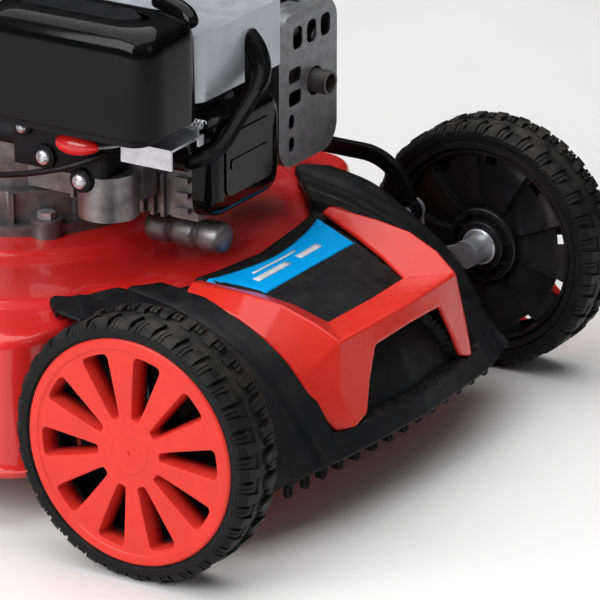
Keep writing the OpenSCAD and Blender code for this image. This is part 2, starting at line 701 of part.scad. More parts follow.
module muffler_guard() color([0.5, 0.5, 0.5]) difference() {
    union() {
        face_plate(72, 73.5) guard_outline(0);
        difference() {
            face_plate(72, 146) guard_outline(0);
            face_plate(71, 147) guard_outline(1.5);
            face_plate(muf_y0 - 1, 147) round_box(0, 100, 0, 500, 2);
        }
    }
    y_rod(70, 75, outlet_x, outlet_z, outlet_d / 2 + 4);
    for (i = [0 : 3]) face_plate(70, 75)
        round_box(guard_x0 + 14, guard_x0 + 14 + (i < 2 ? 8 : 18), outlet_z - 48 + 18 * i,
            outlet_z - 36 + 18 * i, 3.9);
    for (i = [0 : 2]) face_plate(70, 75) round_box(guard_x0 + 20 + 20 * i, guard_x0 + 34 + 20 * i,
        guard_z1 - 30, guard_z1 - 12, 5);
    for (i = [0 : 3]) translate([guard_x1 - 5, 86 + 14 * i, guard_z0 + 30]) cube([10, 7, 60]);
}

tank_y0 = crank_y + housing_r + 4;
tank_z1 = platform_z + 166;
cap_x = -28;
module fuel_tank() color(black) difference() {
    union() {
        block_at(-72, 108, tank_y0, tank_y0 + 62, platform_z + 74, tank_z1, 16);
        z_rod(tank_z1 - eps, tank_z1 + 8, cap_x, tank_y0 + 30, 17);
        box_at(-40, 60, crank_y + block_r + seat_gap, tank_y0 + 4, platform_z + 78, platform_z + 84);
    }
    block_at(-69, 105, tank_y0 + 3, tank_y0 + 59, platform_z + 77, tank_z1 - 3, 13);
    z_rod(tank_z1 - 5, tank_z1 + 9, cap_x, tank_y0 + 30, 14);
}

module fuel_cap() color(black) difference() {
    union() {
        z_rod(tank_z1 + 1, tank_z1 + 14, cap_x, tank_y0 + 30, 22);
        for (a = [0 : 30 : 330]) translate([cap_x, tank_y0 + 30, 0]) rotate(a)
            box_at(20, 24, -2, 2, tank_z1 + 1, tank_z1 + 14);
    }
    z_rod(tank_z1, tank_z1 + 8 + face_gap, cap_x, tank_y0 + 30, 17 + face_gap);
}

tube_x = 108;
grip_half = 13;
module oil_filler_tube() color(black) difference() {
    union() {
        z_rod(sump_z + 15, platform_z + 120, tube_x, crank_y - 66, 10);
        box_at(84, tube_x, crank_y - 70, crank_y - 62, sump_z + 15, sump_z + 30);
    }
    z_rod(sump_z + 18, platform_z + 121, tube_x, crank_y - 66, 8);
}

module dipstick() color([0.9, 0.75, 0.1]) {
    z_rod(platform_z + 120 + seat_gap, platform_z + 134, tube_x, crank_y - 66, 12);
    z_rod(sump_z + 22, platform_z + 121, tube_x, crank_y - 66, 2);
    x_rod(tube_x - grip_half, tube_x + grip_half, crank_y - 66, platform_z + 130, 3);
}

module engine_bolts() color(steel) engine_bolt_places() {
    z_rod(platform_z - 12, sump_z + 14, 0, 0, 4);
    translate([0, 0, sump_z + 14 + seat_gap]) cylinder(h = 5, r = 7, $fn = 6);
    translate([0, 0, platform_z - deck_wall - 6]) cylinder(h = 5.9, r = 7, $fn = 6);
}

module flywheel() color(steel) at_crank() difference() {
    union() {
        z_rod(housing_low + 2, housing_low + 22, 0, 0, 92);
        for (a = [0 : 22.5 : 337.5]) rotate(a)
            box_at(52, 90, -1.5, 1.5, housing_low + 22 - eps, housing_low + 44);
        z_rod(housing_low + 2, housing_low + 36, 0, 0, 24);
    }
    z_rod(housing_low, housing_low + 40, 0, 0, crank_r - 3 + seat_gap);
}

module crankshaft() color(steel) at_crank() {
    z_rod(blade_z + 20, sump_z + sump_h + 6, 0, 0, crank_r);
    z_rod(sump_z + sump_h + 6 - eps, sump_z + sump_h + 14, 0, 0, 36);
    z_rod(sump_z + sump_h + 14 - eps, sump_z + sump_h + 34, -20, 0, 12);
    z_rod(sump_z + sump_h + 34 - eps, sump_z + sump_h + 42, 0, 0, 36);
    z_rod(sump_z + sump_h + 42 - eps, block_z + block_h + 18, 0, 0, crank_r);
    z_rod(block_z + block_h + 18 - eps, housing_low + 37, 0, 0, crank_r - 3);
}

module blade_adapter() color(steel) at_crank() difference() {
    union() {
        z_rod(blade_z + 4 + seat_gap, blade_z + 12, 0, 0, 32);
        z_rod(blade_z + 12 - eps, blade_z + 50, 0, 0, 20);
    }
    z_rod(blade_z + 19.9, blade_z + 51, 0, 0, crank_r + seat_gap);
    z_rod(blade_z, blade_z + 20, 0, 0, 5 + seat_gap);
}

module blade() color(steel) at_crank() difference() {
    union() {
        box_at(-blade_w / 2 + 1, blade_w / 2 - 1, -26, 26, blade_z, blade_z + 4);
        for (t = [0, 180]) rotate(t) translate([blade_w / 2 - 70, 12, blade_z + 2]) rotate([28, 0, 0])
            box_at(0, 66, 0, 24, -1.5, 1.5);
    }
    z_rod(blade_z - 1, blade_z + 5, 0, 0, 5 + seat_gap);
    difference() {
        z_rod(blade_z - 1, blade_z + 30, 0, 0, blade_w);
        z_rod(blade_z - 2, blade_z + 31, 0, 0, blade_w / 2);
    }
}

module blade_bolt() color(steel) at_crank() {
    translate([0, 0, blade_z - 10]) cylinder(h = 7, r = 9, $fn = 6);
    z_rod(blade_z - 3 - eps, blade_z - seat_gap, 0, 0, 18);
    z_rod(blade_z - 3, blade_z + 19.8, 0, 0, 5);
}

pulley_r = 48;
rope_r = 2;
rope_x = pulley_r + rope_r + 1.5;
rope_z = housing_z - 28;
module recoil_pulley() color(black) at_crank() difference() {
    union() {
        z_rod(rope_z - 6, rope_z - 4, 0, 0, pulley_r + 5 - 4.8);
        z_rod(rope_z - 4 - eps, rope_z + 4 + eps, 0, 0, pulley_r - 3);
        z_rod(rope_z + 4, rope_z + 6, 0, 0, pulley_r + 5 - 4.8);
        z_rod(rope_z - 10, rope_z - 5, 0, 0, 18);
    }
    for (a = [0 : 120 : 240]) rotate(a) z_rod(rope_z - 7, rope_z + 7, 26, 0, 8);
}

module starter_grip() color(black) {
    y1 = crank_y + housing_r;
    y_rod(crank_y - 72, y1 + 8, rope_x + 2.5, rope_z, rope_r);
    y_rod(y1 + 1, y1 + 18, rope_x + 2.5, rope_z, 6);
    x_rod(rope_x + 2.5 - 30, rope_x + 2.5 + 30, y1 + 24, rope_z, 8.5);
}

// ---------- handle ----------

module handle_frame() {
    translate([0, hinge_y, hinge_z]) rotate([handle_angle, 0, 0]) children();
}

module tube_y(x, y0, y1) difference() {
    y_rod(y0, y1, x, 0, tube_r);
    y_rod(y0 - 1, y1 + 1, x, 0, tube_r - tube_wall);
}

module lower_handle() color(black) handle_frame() difference() {
    union() {
        for (s = [-1, 1]) tube_y(s * lower_x, -16, lower_len + 20);
        x_rod(-lower_x + tube_r - 1, lower_x - tube_r + 1, lower_len * 0.62, 0, tube_r - 2);
    }
    for (y = [0, lower_len]) x_rod(-upper_x, upper_x, y, 0, bolt_r + axle_gap);
}

module bend_tube(r0) {
    rotate_extrude(angle = 90) translate([bend_r, 0]) circle(r0);
}

module upper_handle() color(black) handle_frame() difference() {
    union() {
        for (s = [-1, 1]) tube_y(s * upper_x, lower_len - 20, lower_len + upper_len - bend_r);
        both_sides() translate([upper_x - bend_r, lower_len + upper_len - bend_r, 0]) difference() {
            bend_tube(tube_r);
            bend_tube(tube_r - tube_wall);
        }
        x_rod(-upper_x + bend_r - eps, upper_x - bend_r + eps, lower_len + upper_len, 0, tube_r);
        x_rod(-upper_x + bend_r + 4, upper_x - bend_r - 4, lower_len + upper_len, 0, grip_r);
    }
    x_rod(-upper_x - 20, -lower_x, lower_len, 0, bolt_r + axle_gap);
    x_rod(lower_x, upper_x + 20, lower_len, 0, bolt_r + axle_gap);
    for (s = [-1, 1]) x_rod(s > 0 ? upper_x - tube_r - 3 : -upper_x, s > 0 ? upper_x
        : -upper_x + tube_r + 3, lower_len + upper_len - bend_r - 40, 0, bail_d / 2 + axle_gap);
}

module fold_knob(s) color(black) handle_frame() mirror([s > 0 ? 0 : 1, 0, 0]) {
    x_rod(lower_x - tube_r - 4.4, lower_x - tube_r - face_gap, lower_len, 0, 8);
    x_rod(lower_x - tube_r - 1, upper_x + tube_r + 6, lower_len, 0, bolt_r);
    x_rod(upper_x + tube_r + face_gap, upper_x + tube_r + 14, lower_len, 0, 13);
    translate([upper_x + tube_r + 5, lower_len, 0]) for (a = [0, 120, 240]) rotate([a, 0, 0])
        box_at(0, 10, -5, 5, 8, 24);
}

module stop_bar() color(black) handle_frame() {
    r = bail_d / 2;
    x = upper_x - tube_r - r - 3;
    y = lower_len + upper_len - bend_r - 40;
    len = 118;
    tilt = 36;
    both_sides() x_rod(x - r, upper_x - 4, y, 0, r);
    translate([0, y, 0]) rotate([tilt, 0, 0]) {
        both_sides() {
            y_rod(-2, len - bail_bend + bond, x, 0, r - 0.4);
            translate([x - bail_bend, len - bail_bend, 0]) rotate_extrude(angle = 90)
                translate([bail_bend, 0]) circle(r);
        }
        x_rod(-x + bail_bend - bond, x - bail_bend + bond, len, 0, r - 0.2);
    }
}

module handle_brackets() color(steel) difference() {
    union() both_sides() {
        side_plate(lower_x - tube_r - 3.5, lower_x - tube_r - face_gap)
            round_box(hinge_y - 26, hinge_y + 26, shoulder_z + seat_gap, hinge_z + 18, 10);
        box_at(lower_x - tube_r - 26, lower_x - tube_r - 3, hinge_y - 26, hinge_y + 26,
            shoulder_z + seat_gap, shoulder_z + 3);
    }
    x_rod(-lower_x, lower_x, hinge_y, hinge_z, bolt_r + axle_gap);
}

module handle_bolts() color(steel) both_sides() {
    x_rod(lower_x - tube_r - 9, lower_x + tube_r + 5, hinge_y, hinge_z, bolt_r);
    x_rod(lower_x - tube_r - 10, lower_x - tube_r - 3.6, hinge_y, hinge_z, 7.5);
    x_rod(lower_x + tube_r + face_gap, lower_x + tube_r + 5, hinge_y, hinge_z, 7.5);
}

// Hinged flap that closes the rear tunnel
flap_y = tail_y + 10;
module rear_flap() color(black) {
    x_rod(-tail_x + 6, tail_x - 6, flap_y, shoulder_z - 4, 5);
    box_at(-tail_x + 6, tail_x - 6, flap_y - 2, flap_y + 2, tail_z, shoulder_z - 4);
}

// Cable from the engine brake to the stop bar, clipped beside the right handle tubes
cable_route = [[-128, 112, 262], [-138, 150, 246], [-142, 210, 232], [-140, 290, 226],
    [-134, 380, 222], [-132, 460, 216], [-142, 530, 204], [-156, 566, 206], [-160, 590, 224]];
module stop_cable() color(black) swept(smooth_path(cable_route, 4), 2.5, [1, 0.02, 0.03]);

place() deck();
place() front_cover();
place() front_trim();
place() front_comb();
place() axle_bearings();
place() engine_sump();
place() engine_block();
place() cylinder_head();
place() rocker_cover();
place() spark_plug();
place() plug_lead();
place() ignition_coil();
place() fan_housing();
place() air_cleaner_base();
place() air_filter();
place() air_cleaner_cover();
place() intake_body();
place() carburettor();
place() control_bracket();
place() throttle_lever();
place() muffler();
place() muffler_guard();
place() fuel_tank();
place() fuel_cap();
place() oil_filler_tube();
place() dipstick();
place() engine_bolts();
place() handle_brackets();
place() handle_bolts();
place() flywheel();
place() crankshaft();
place() blade_adapter();
place() blade();
place() blade_bolt();
place() recoil_pulley();
place() starter_grip();
place() front_axle();
place() rear_axle();
place() height_lever();
place() height_link();
place() tyre(-1, 0);  // front_right_tyre
place() rim(-1, 0);  // front_right_rim
place() cap(-1, 0);  // front_right_cap
place() tyre(1, 0);  // front_left_tyre
place() rim(1, 0);  // front_left_rim
place() cap(1, 0);  // front_left_cap
place() tyre(-1, wheelbase);  // rear_right_tyre
place() rim(-1, wheelbase);  // rear_right_rim
place() cap(-1, wheelbase);  // rear_right_cap
place() tyre(1, wheelbase);  // rear_left_tyre
place() rim(1, wheelbase);  // rear_left_rim
place() cap(1, wheelbase);  // rear_left_cap
place() lower_handle();
place() upper_handle();
place() fold_knob(-1);  // fold_knob_right
place() fold_knob(1);  // fold_knob_left
place() stop_bar();
place() rear_flap();
place() stop_cable();
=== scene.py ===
"""Push lawn mower: the visible pieces and finishes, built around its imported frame."""

import json
from math import cos, pi, radians, sin, sqrt

import bmesh
import bpy
from mathutils import Matrix, Vector
from mathutils.geometry import tessellate_polygon


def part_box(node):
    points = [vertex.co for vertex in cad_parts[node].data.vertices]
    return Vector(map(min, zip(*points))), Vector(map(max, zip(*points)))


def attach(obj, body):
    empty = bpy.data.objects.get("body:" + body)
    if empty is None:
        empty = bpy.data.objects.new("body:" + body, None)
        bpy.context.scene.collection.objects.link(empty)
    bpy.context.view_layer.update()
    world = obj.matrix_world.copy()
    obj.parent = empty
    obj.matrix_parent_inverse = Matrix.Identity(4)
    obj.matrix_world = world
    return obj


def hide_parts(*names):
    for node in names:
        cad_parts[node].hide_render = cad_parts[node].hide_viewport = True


bl_info = {
    "name": "Push Lawn Mower",
    "version": (1, 0, 0),
    "blender": (4, 5, 0),
    "location": "3D View > Sidebar > Mower",
    "description": "Builds the visible pieces and finishes of a push lawn mower",
    "category": "Object",
}

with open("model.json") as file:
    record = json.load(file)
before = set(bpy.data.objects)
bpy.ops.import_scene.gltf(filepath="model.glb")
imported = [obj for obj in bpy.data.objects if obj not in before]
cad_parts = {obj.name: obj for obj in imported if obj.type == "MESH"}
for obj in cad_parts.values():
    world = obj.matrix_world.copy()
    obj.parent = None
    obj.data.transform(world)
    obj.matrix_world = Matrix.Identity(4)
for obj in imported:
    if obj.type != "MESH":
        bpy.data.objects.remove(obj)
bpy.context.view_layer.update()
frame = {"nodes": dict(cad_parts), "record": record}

# Lengths below are in millimetres, with X to the mower's left, Y back from the
# front wheel centres and Z up from the ground.
MM = 0.001
AXLE_Y = (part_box("front_right_tyre")[0].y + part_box("front_right_tyre")[1].y) / 2


def at(x, y, z):
    """A point of the mower in the frame's metres."""
    return Vector((x * MM, AXLE_Y + y * MM, z * MM))


def room(node):
    """Lowest and highest corner of a node in millimetres from the front axle."""
    return [Vector((c.x / MM, (c.y - AXLE_Y) / MM, c.z / MM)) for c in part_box(node)]


TYRE_LO, TYRE_HI = room("front_left_tyre")
WHEEL_R = TYRE_HI.z / 2
WHEEL_X = (TYRE_LO.x + TYRE_HI.x) / 2
HALF_TYRE = (TYRE_HI.x - TYRE_LO.x) / 2
WHEELBASE = (room("rear_left_tyre")[0].y + room("rear_left_tyre")[1].y) / 2
RIM_R = room("front_left_cap")[1].z - WHEEL_R
CRANK_Y = (room("flywheel")[0].y + room("flywheel")[1].y) / 2
DECK_HI = room("deck")[1]
PLATFORM_Z = DECK_HI.z
DECK_HALF = 245.0
DECK_FRONT = 108.0
DECK_BACK = WHEELBASE - 108
TUNNEL_X = 150.0
TAIL_Z = 60.0
BRACKET_X = 186.0
SHELF_Z = 58.0


# ---------- settings ----------

class MowerPaint(bpy.types.PropertyGroup):
    """Colours of the mower's finishes."""
    deck: bpy.props.FloatVectorProperty(
        name="Deck", description="Paint of the steel deck",
        subtype="COLOR", size=3, min=0, max=1, default=(0.68, 0.018, 0.016))
    trim: bpy.props.FloatVectorProperty(
        name="Trim", description="Glossy frame on the front cover",
        subtype="COLOR", size=3, min=0, max=1, default=(0.74, 0.030, 0.018))
    cap: bpy.props.FloatVectorProperty(
        name="Wheel caps", description="Moulded faces of the wheels",
        subtype="COLOR", size=3, min=0, max=1, default=(0.72, 0.036, 0.024))
    label: bpy.props.FloatVectorProperty(
        name="Label", description="Plain label between the trim's horns",
        subtype="COLOR", size=3, min=0, max=1, default=(0.0, 0.40, 0.93))
    moulding: bpy.props.FloatVectorProperty(
        name="Mouldings", description="Grained black plastic",
        subtype="COLOR", size=3, min=0, max=1, default=(0.0085, 0.009, 0.0105))
    tyre: bpy.props.FloatVectorProperty(
        name="Tyres", description="Tyre rubber",
        subtype="COLOR", size=3, min=0, max=1, default=(0.010, 0.0102, 0.011))


class MowerWheels(bpy.types.PropertyGroup):
    """Sizes of the tread and the wheel caps."""
    lug_count: bpy.props.IntProperty(
        name="Lugs", description="Large tread lugs in one row", default=32, min=20, max=40)
    lug_height: bpy.props.FloatProperty(
        name="Lug height", description="Height of the tread lugs in millimetres",
        default=4.2, min=2, max=6)
    spokes: bpy.props.IntProperty(
        name="Spokes", description="Openings in each wheel cap", default=10, min=6, max=12)
    pocket: bpy.props.FloatProperty(
        name="Opening depth", description="Depth of a cap's openings in millimetres",
        default=16, min=6, max=20)


class MowerStudio(bpy.types.PropertyGroup):
    """Camera and lights."""
    lens: bpy.props.FloatProperty(
        name="Lens", description="Focal length", default=317.95, min=50, max=500,
        unit="CAMERA")
    top_light: bpy.props.FloatProperty(
        name="Top light", description="Power of the overhead panel", default=84,
        min=0, unit="POWER")
    side_light: bpy.props.FloatProperty(
        name="Side light", description="Power of the panel beside the mower", default=105,
        min=0, unit="POWER")
    sky: bpy.props.FloatProperty(
        name="Room", description="Brightness of the surrounding room", default=0.14,
        min=0, max=2)


def paint():
    return bpy.context.scene.mower_paint


# ---------- finishes ----------

def noise(nodes, links, scale, detail=3.0, stretch=None):
    """Noise of the given number of grains in a metre."""
    coords = nodes.new("ShaderNodeTexCoord").outputs["Object"]
    if stretch:
        mapping = nodes.new("ShaderNodeMapping")
        mapping.inputs["Scale"].default_value = stretch
        links.new(coords, mapping.inputs["Vector"])
        coords = mapping.outputs["Vector"]
    tex = nodes.new("ShaderNodeTexNoise")
    tex.inputs["Scale"].default_value = scale
    tex.inputs["Detail"].default_value = detail
    links.new(coords, tex.inputs["Vector"])
    return tex.outputs["Fac"]


def spread(nodes, links, value, low, high, start=0.3, end=0.7):
    """Value between start and end carried over to low and high."""
    ranged = nodes.new("ShaderNodeMapRange")
    for name, number in (("From Min", start), ("From Max", end), ("To Min", low), ("To Max", high)):
        ranged.inputs[name].default_value = number
    links.new(value, ranged.inputs["Value"])
    return ranged.outputs["Result"]


def mixed(nodes, links, factor, first, second, blend="MIX"):
    """Two colours, or sockets, mixed by a factor socket."""
    mix = nodes.new("ShaderNodeMix")
    mix.data_type = "RGBA"
    mix.blend_type = blend
    links.new(factor, mix.inputs[0])
    for socket, colour in ((mix.inputs[6], first), (mix.inputs[7], second)):
        if isinstance(colour, bpy.types.NodeSocket):
            links.new(colour, socket)
        else:
            socket.default_value = (*colour, 1)
    return mix.outputs[2]


def edges(nodes, links, radius):
    """Mask of the outer edges of a surface."""
    rounded_normal = nodes.new("ShaderNodeBevel")
    rounded_normal.samples = 4
    rounded_normal.inputs["Radius"].default_value = radius
    geometry = nodes.new("ShaderNodeNewGeometry")
    dot = nodes.new("ShaderNodeVectorMath")
    dot.operation = "DOT_PRODUCT"
    links.new(rounded_normal.outputs["Normal"], dot.inputs[0])
    links.new(geometry.outputs["Normal"], dot.inputs[1])
    return spread(nodes, links, dot.outputs["Value"], 1, 0, 0.72, 0.98)


def facing_up(nodes, links, start=0.2, end=0.95):
    """Mask of the surfaces that dust settles on."""
    geometry = nodes.new("ShaderNodeNewGeometry")
    split = nodes.new("ShaderNodeSeparateXYZ")
    links.new(geometry.outputs["Normal"], split.inputs[0])
    return spread(nodes, links, split.outputs["Z"], 0, 1, start, end)


def product(nodes, links, first, second):
    """Two sockets multiplied."""
    multiply = nodes.new("ShaderNodeMath")
    multiply.operation = "MULTIPLY"
    links.new(first, multiply.inputs[0])
    if isinstance(second, bpy.types.NodeSocket):
        links.new(second, multiply.inputs[1])
    else:
        multiply.inputs[1].default_value = second
    return multiply.outputs[0]


def finish(name, colour, rough, metal=0.0, shade=0.8, mottle=40, grain=900, bump=0.05,
           depth=0.0003, coat=0.0, coat_rough=0.05, wear=0.0, wear_colour=None, dust=0.0,
           specular=0.5, stretch=None, rough_spread=0.25, detail=4.0):
    """A procedural finish: mottled colour, fine grain, worn edges and settled dust."""
    name += "_finish"
    if name in bpy.data.materials:
        return bpy.data.materials[name]
    material = bpy.data.materials.new(name)
    material.use_nodes = True
    nodes, links = material.node_tree.nodes, material.node_tree.links
    shader = nodes["Principled BSDF"]
    patches = spread(nodes, links, noise(nodes, links, mottle, detail), 0, 1)
    base = mixed(nodes, links, patches, [c * shade for c in colour], colour)
    if wear:
        torn = spread(nodes, links, noise(nodes, links, 260, 5), 0, 1, 0.35, 0.6)
        worn = product(nodes, links, product(nodes, links, edges(nodes, links, 0.0009), torn), wear)
        base = mixed(nodes, links, worn, base, wear_colour or [min(1, c * 2.5 + 0.02) for c in colour])
    if dust:
        cloud = spread(nodes, links, noise(nodes, links, 70, 8), 0, 1, 0.4, 0.75)
        settled = product(nodes, links, product(nodes, links, facing_up(nodes, links), cloud), dust)
        base = mixed(nodes, links, settled, base, (0.20, 0.185, 0.165))
    links.new(base, shader.inputs["Base Color"])
    fine = noise(nodes, links, grain, 2, stretch)
    broad = noise(nodes, links, mottle * 2.3, 5)
    links.new(spread(nodes, links, broad, rough * (1 - rough_spread), min(1, rough * (1 + rough_spread))),
              shader.inputs["Roughness"])
    if bump:
        relief = nodes.new("ShaderNodeBump")
        relief.inputs["Strength"].default_value = bump
        relief.inputs["Distance"].default_value = depth
        links.new(fine, relief.inputs["Height"])
        links.new(relief.outputs["Normal"], shader.inputs["Normal"])
    shader.inputs["Metallic"].default_value = metal
    shader.inputs["Specular IOR Level"].default_value = specular
    shader.inputs["Coat Weight"].default_value = coat
    shader.inputs["Coat Roughness"].default_value = coat_rough
    return material


def deck_paint():
    return finish("deck_paint", paint().deck, 0.34, shade=0.93, mottle=9, grain=700, bump=0.02,
                  coat=0.7, coat_rough=0.03, specular=0.4, wear=0.25, wear_colour=(0.62, 0.05, 0.04))


def trim_red():
    return finish("trim_red", paint().trim, 0.30, shade=0.95, mottle=22, grain=2600, bump=0.05,
                  depth=0.00012, coat=0.25, coat_rough=0.12, specular=0.35, wear=0.2,
                  wear_colour=(0.85, 0.10, 0.07))


def wheel_red():
    return finish("wheel_red", paint().cap, 0.42, shade=0.90, mottle=35, grain=2200, bump=0.10,
                  depth=0.00015, wear=0.3, wear_colour=(0.86, 0.12, 0.09), dust=0.05,
                  specular=0.3)


def black_moulding():
    return finish("black_moulding", paint().moulding, 0.47, shade=0.75, mottle=30, grain=2400,
                  bump=0.22, depth=0.0002, wear=0.25, wear_colour=(0.035, 0.035, 0.037), dust=0.06,
                  specular=0.13)


def panel_black():
    return finish("panel_black", (0.0075, 0.0078, 0.009), 0.40, shade=0.8, mottle=26, grain=1900,
                  bump=0.12, depth=0.00015, specular=0.12)


def gloss_black():
    return finish("gloss_black", (0.0030, 0.0031, 0.0034), 0.11, shade=0.7, mottle=18, grain=1500,
                  bump=0.015, depth=0.0001, wear=0.15, wear_colour=(0.02, 0.02, 0.02), dust=0.02,
                  specular=0.16)


def matte_black():
    return finish("matte_black", (0.014, 0.0145, 0.016), 0.62, shade=0.8, mottle=30, grain=2600,
                  bump=0.25, depth=0.0002, dust=0.03, specular=0.12)


def tyre_rubber():
    return finish("tyre", paint().tyre, 0.50, shade=0.7, mottle=60, grain=1500, bump=0.16,
                  depth=0.0003, wear=0.4, wear_colour=(0.045, 0.043, 0.042), dust=0.25,
                  specular=0.13)


def wheel_black():
    return finish("wheel_black", (0.009, 0.0093, 0.0105), 0.36, shade=0.75, mottle=40, grain=1700,
                  bump=0.12, depth=0.0002, wear=0.35, wear_colour=(0.04, 0.04, 0.042), dust=0.05,
                  specular=0.3)


def cast_aluminium():
    return finish("cast_aluminium", (0.30, 0.295, 0.30), 0.42, metal=0.85, shade=0.55, mottle=85,
                  grain=900, bump=0.35, depth=0.0005, wear=0.6, wear_colour=(0.62, 0.62, 0.63))


def dark_alloy():
    return finish("dark_alloy", (0.23, 0.222, 0.225), 0.42, metal=0.7, shade=0.5, mottle=85,
                  grain=900, bump=0.4, depth=0.0005, wear=0.5, wear_colour=(0.35, 0.35, 0.36))


def zinc_steel():
    return finish("zinc_steel", (0.66, 0.67, 0.70), 0.34, metal=0.75, shade=0.75, mottle=120,
                  grain=1400, bump=0.12, wear=0.4, wear_colour=(0.9, 0.9, 0.92))


def black_steel():
    return finish("black_steel", (0.006, 0.006, 0.0065), 0.22, shade=0.8, mottle=25, grain=1200,
                  bump=0.05, coat=0.12, coat_rough=0.08, wear=0.3, wear_colour=(0.08, 0.08, 0.085),
                  specular=0.12)


def silver_paint():
    return finish("silver_paint", (0.50, 0.54, 0.58), 0.36, metal=0.45, shade=0.88, mottle=30,
                  grain=3800, bump=0.10, depth=0.00012, coat=0.35, coat_rough=0.12)


def guard_steel():
    return finish("guard_steel", (0.27, 0.272, 0.28), 0.44, metal=0.85, shade=0.72, mottle=110,
                  grain=1600, bump=0.12, stretch=(1, 1, 5), wear=0.7, wear_colour=(0.6, 0.6, 0.62))


def dull_steel():
    return finish("dull_steel", (0.20, 0.195, 0.19), 0.5, metal=0.9, shade=0.6, mottle=90,
                  grain=900, bump=0.2, wear=0.4, wear_colour=(0.5, 0.5, 0.5))


def lead_rubber():
    return finish("lead_rubber", (0.005, 0.005, 0.0055), 0.30, shade=0.8, mottle=40, grain=1600,
                  bump=0.06, dust=0.02, specular=0.12)


def grip_foam():
    return finish("grip_foam", (0.012, 0.012, 0.013), 0.85, shade=0.6, mottle=300, grain=1500,
                  bump=0.6, depth=0.0006, detail=8)


def filter_paper():
    return finish("filter_paper", (0.62, 0.55, 0.38), 0.9, mottle=60, grain=1500, bump=0.2)


def ceramic():
    return finish("ceramic", (0.75, 0.74, 0.70), 0.2, shade=0.93, mottle=60, grain=900, bump=0.02,
                  coat=0.5)


def dipstick_yellow():
    return finish("dipstick_yellow", (0.72, 0.45, 0.02), 0.4, shade=0.9, mottle=60, grain=1500,
                  bump=0.06)


def lever_red():
    return finish("lever_red", (0.66, 0.012, 0.012), 0.26, shade=0.92, mottle=50, grain=1500,
                  bump=0.04, coat=0.3, coat_rough=0.1)


def label_blue():
    return finish("label_blue", paint().label, 0.30, shade=0.94, mottle=60, grain=2500, bump=0.03,
                  coat=0.03, coat_rough=0.1, specular=0.08)


def label_white():
    return finish("label_white", (0.80, 0.82, 0.85), 0.32, shade=0.96, mottle=60, grain=2500,
                  bump=0.03)


def studio_floor():
    return finish("studio_floor", (0.80, 0.80, 0.80), 0.75, shade=0.985, mottle=3, grain=300,
                  bump=0.01, specular=0.2)


# ---------- building ----------

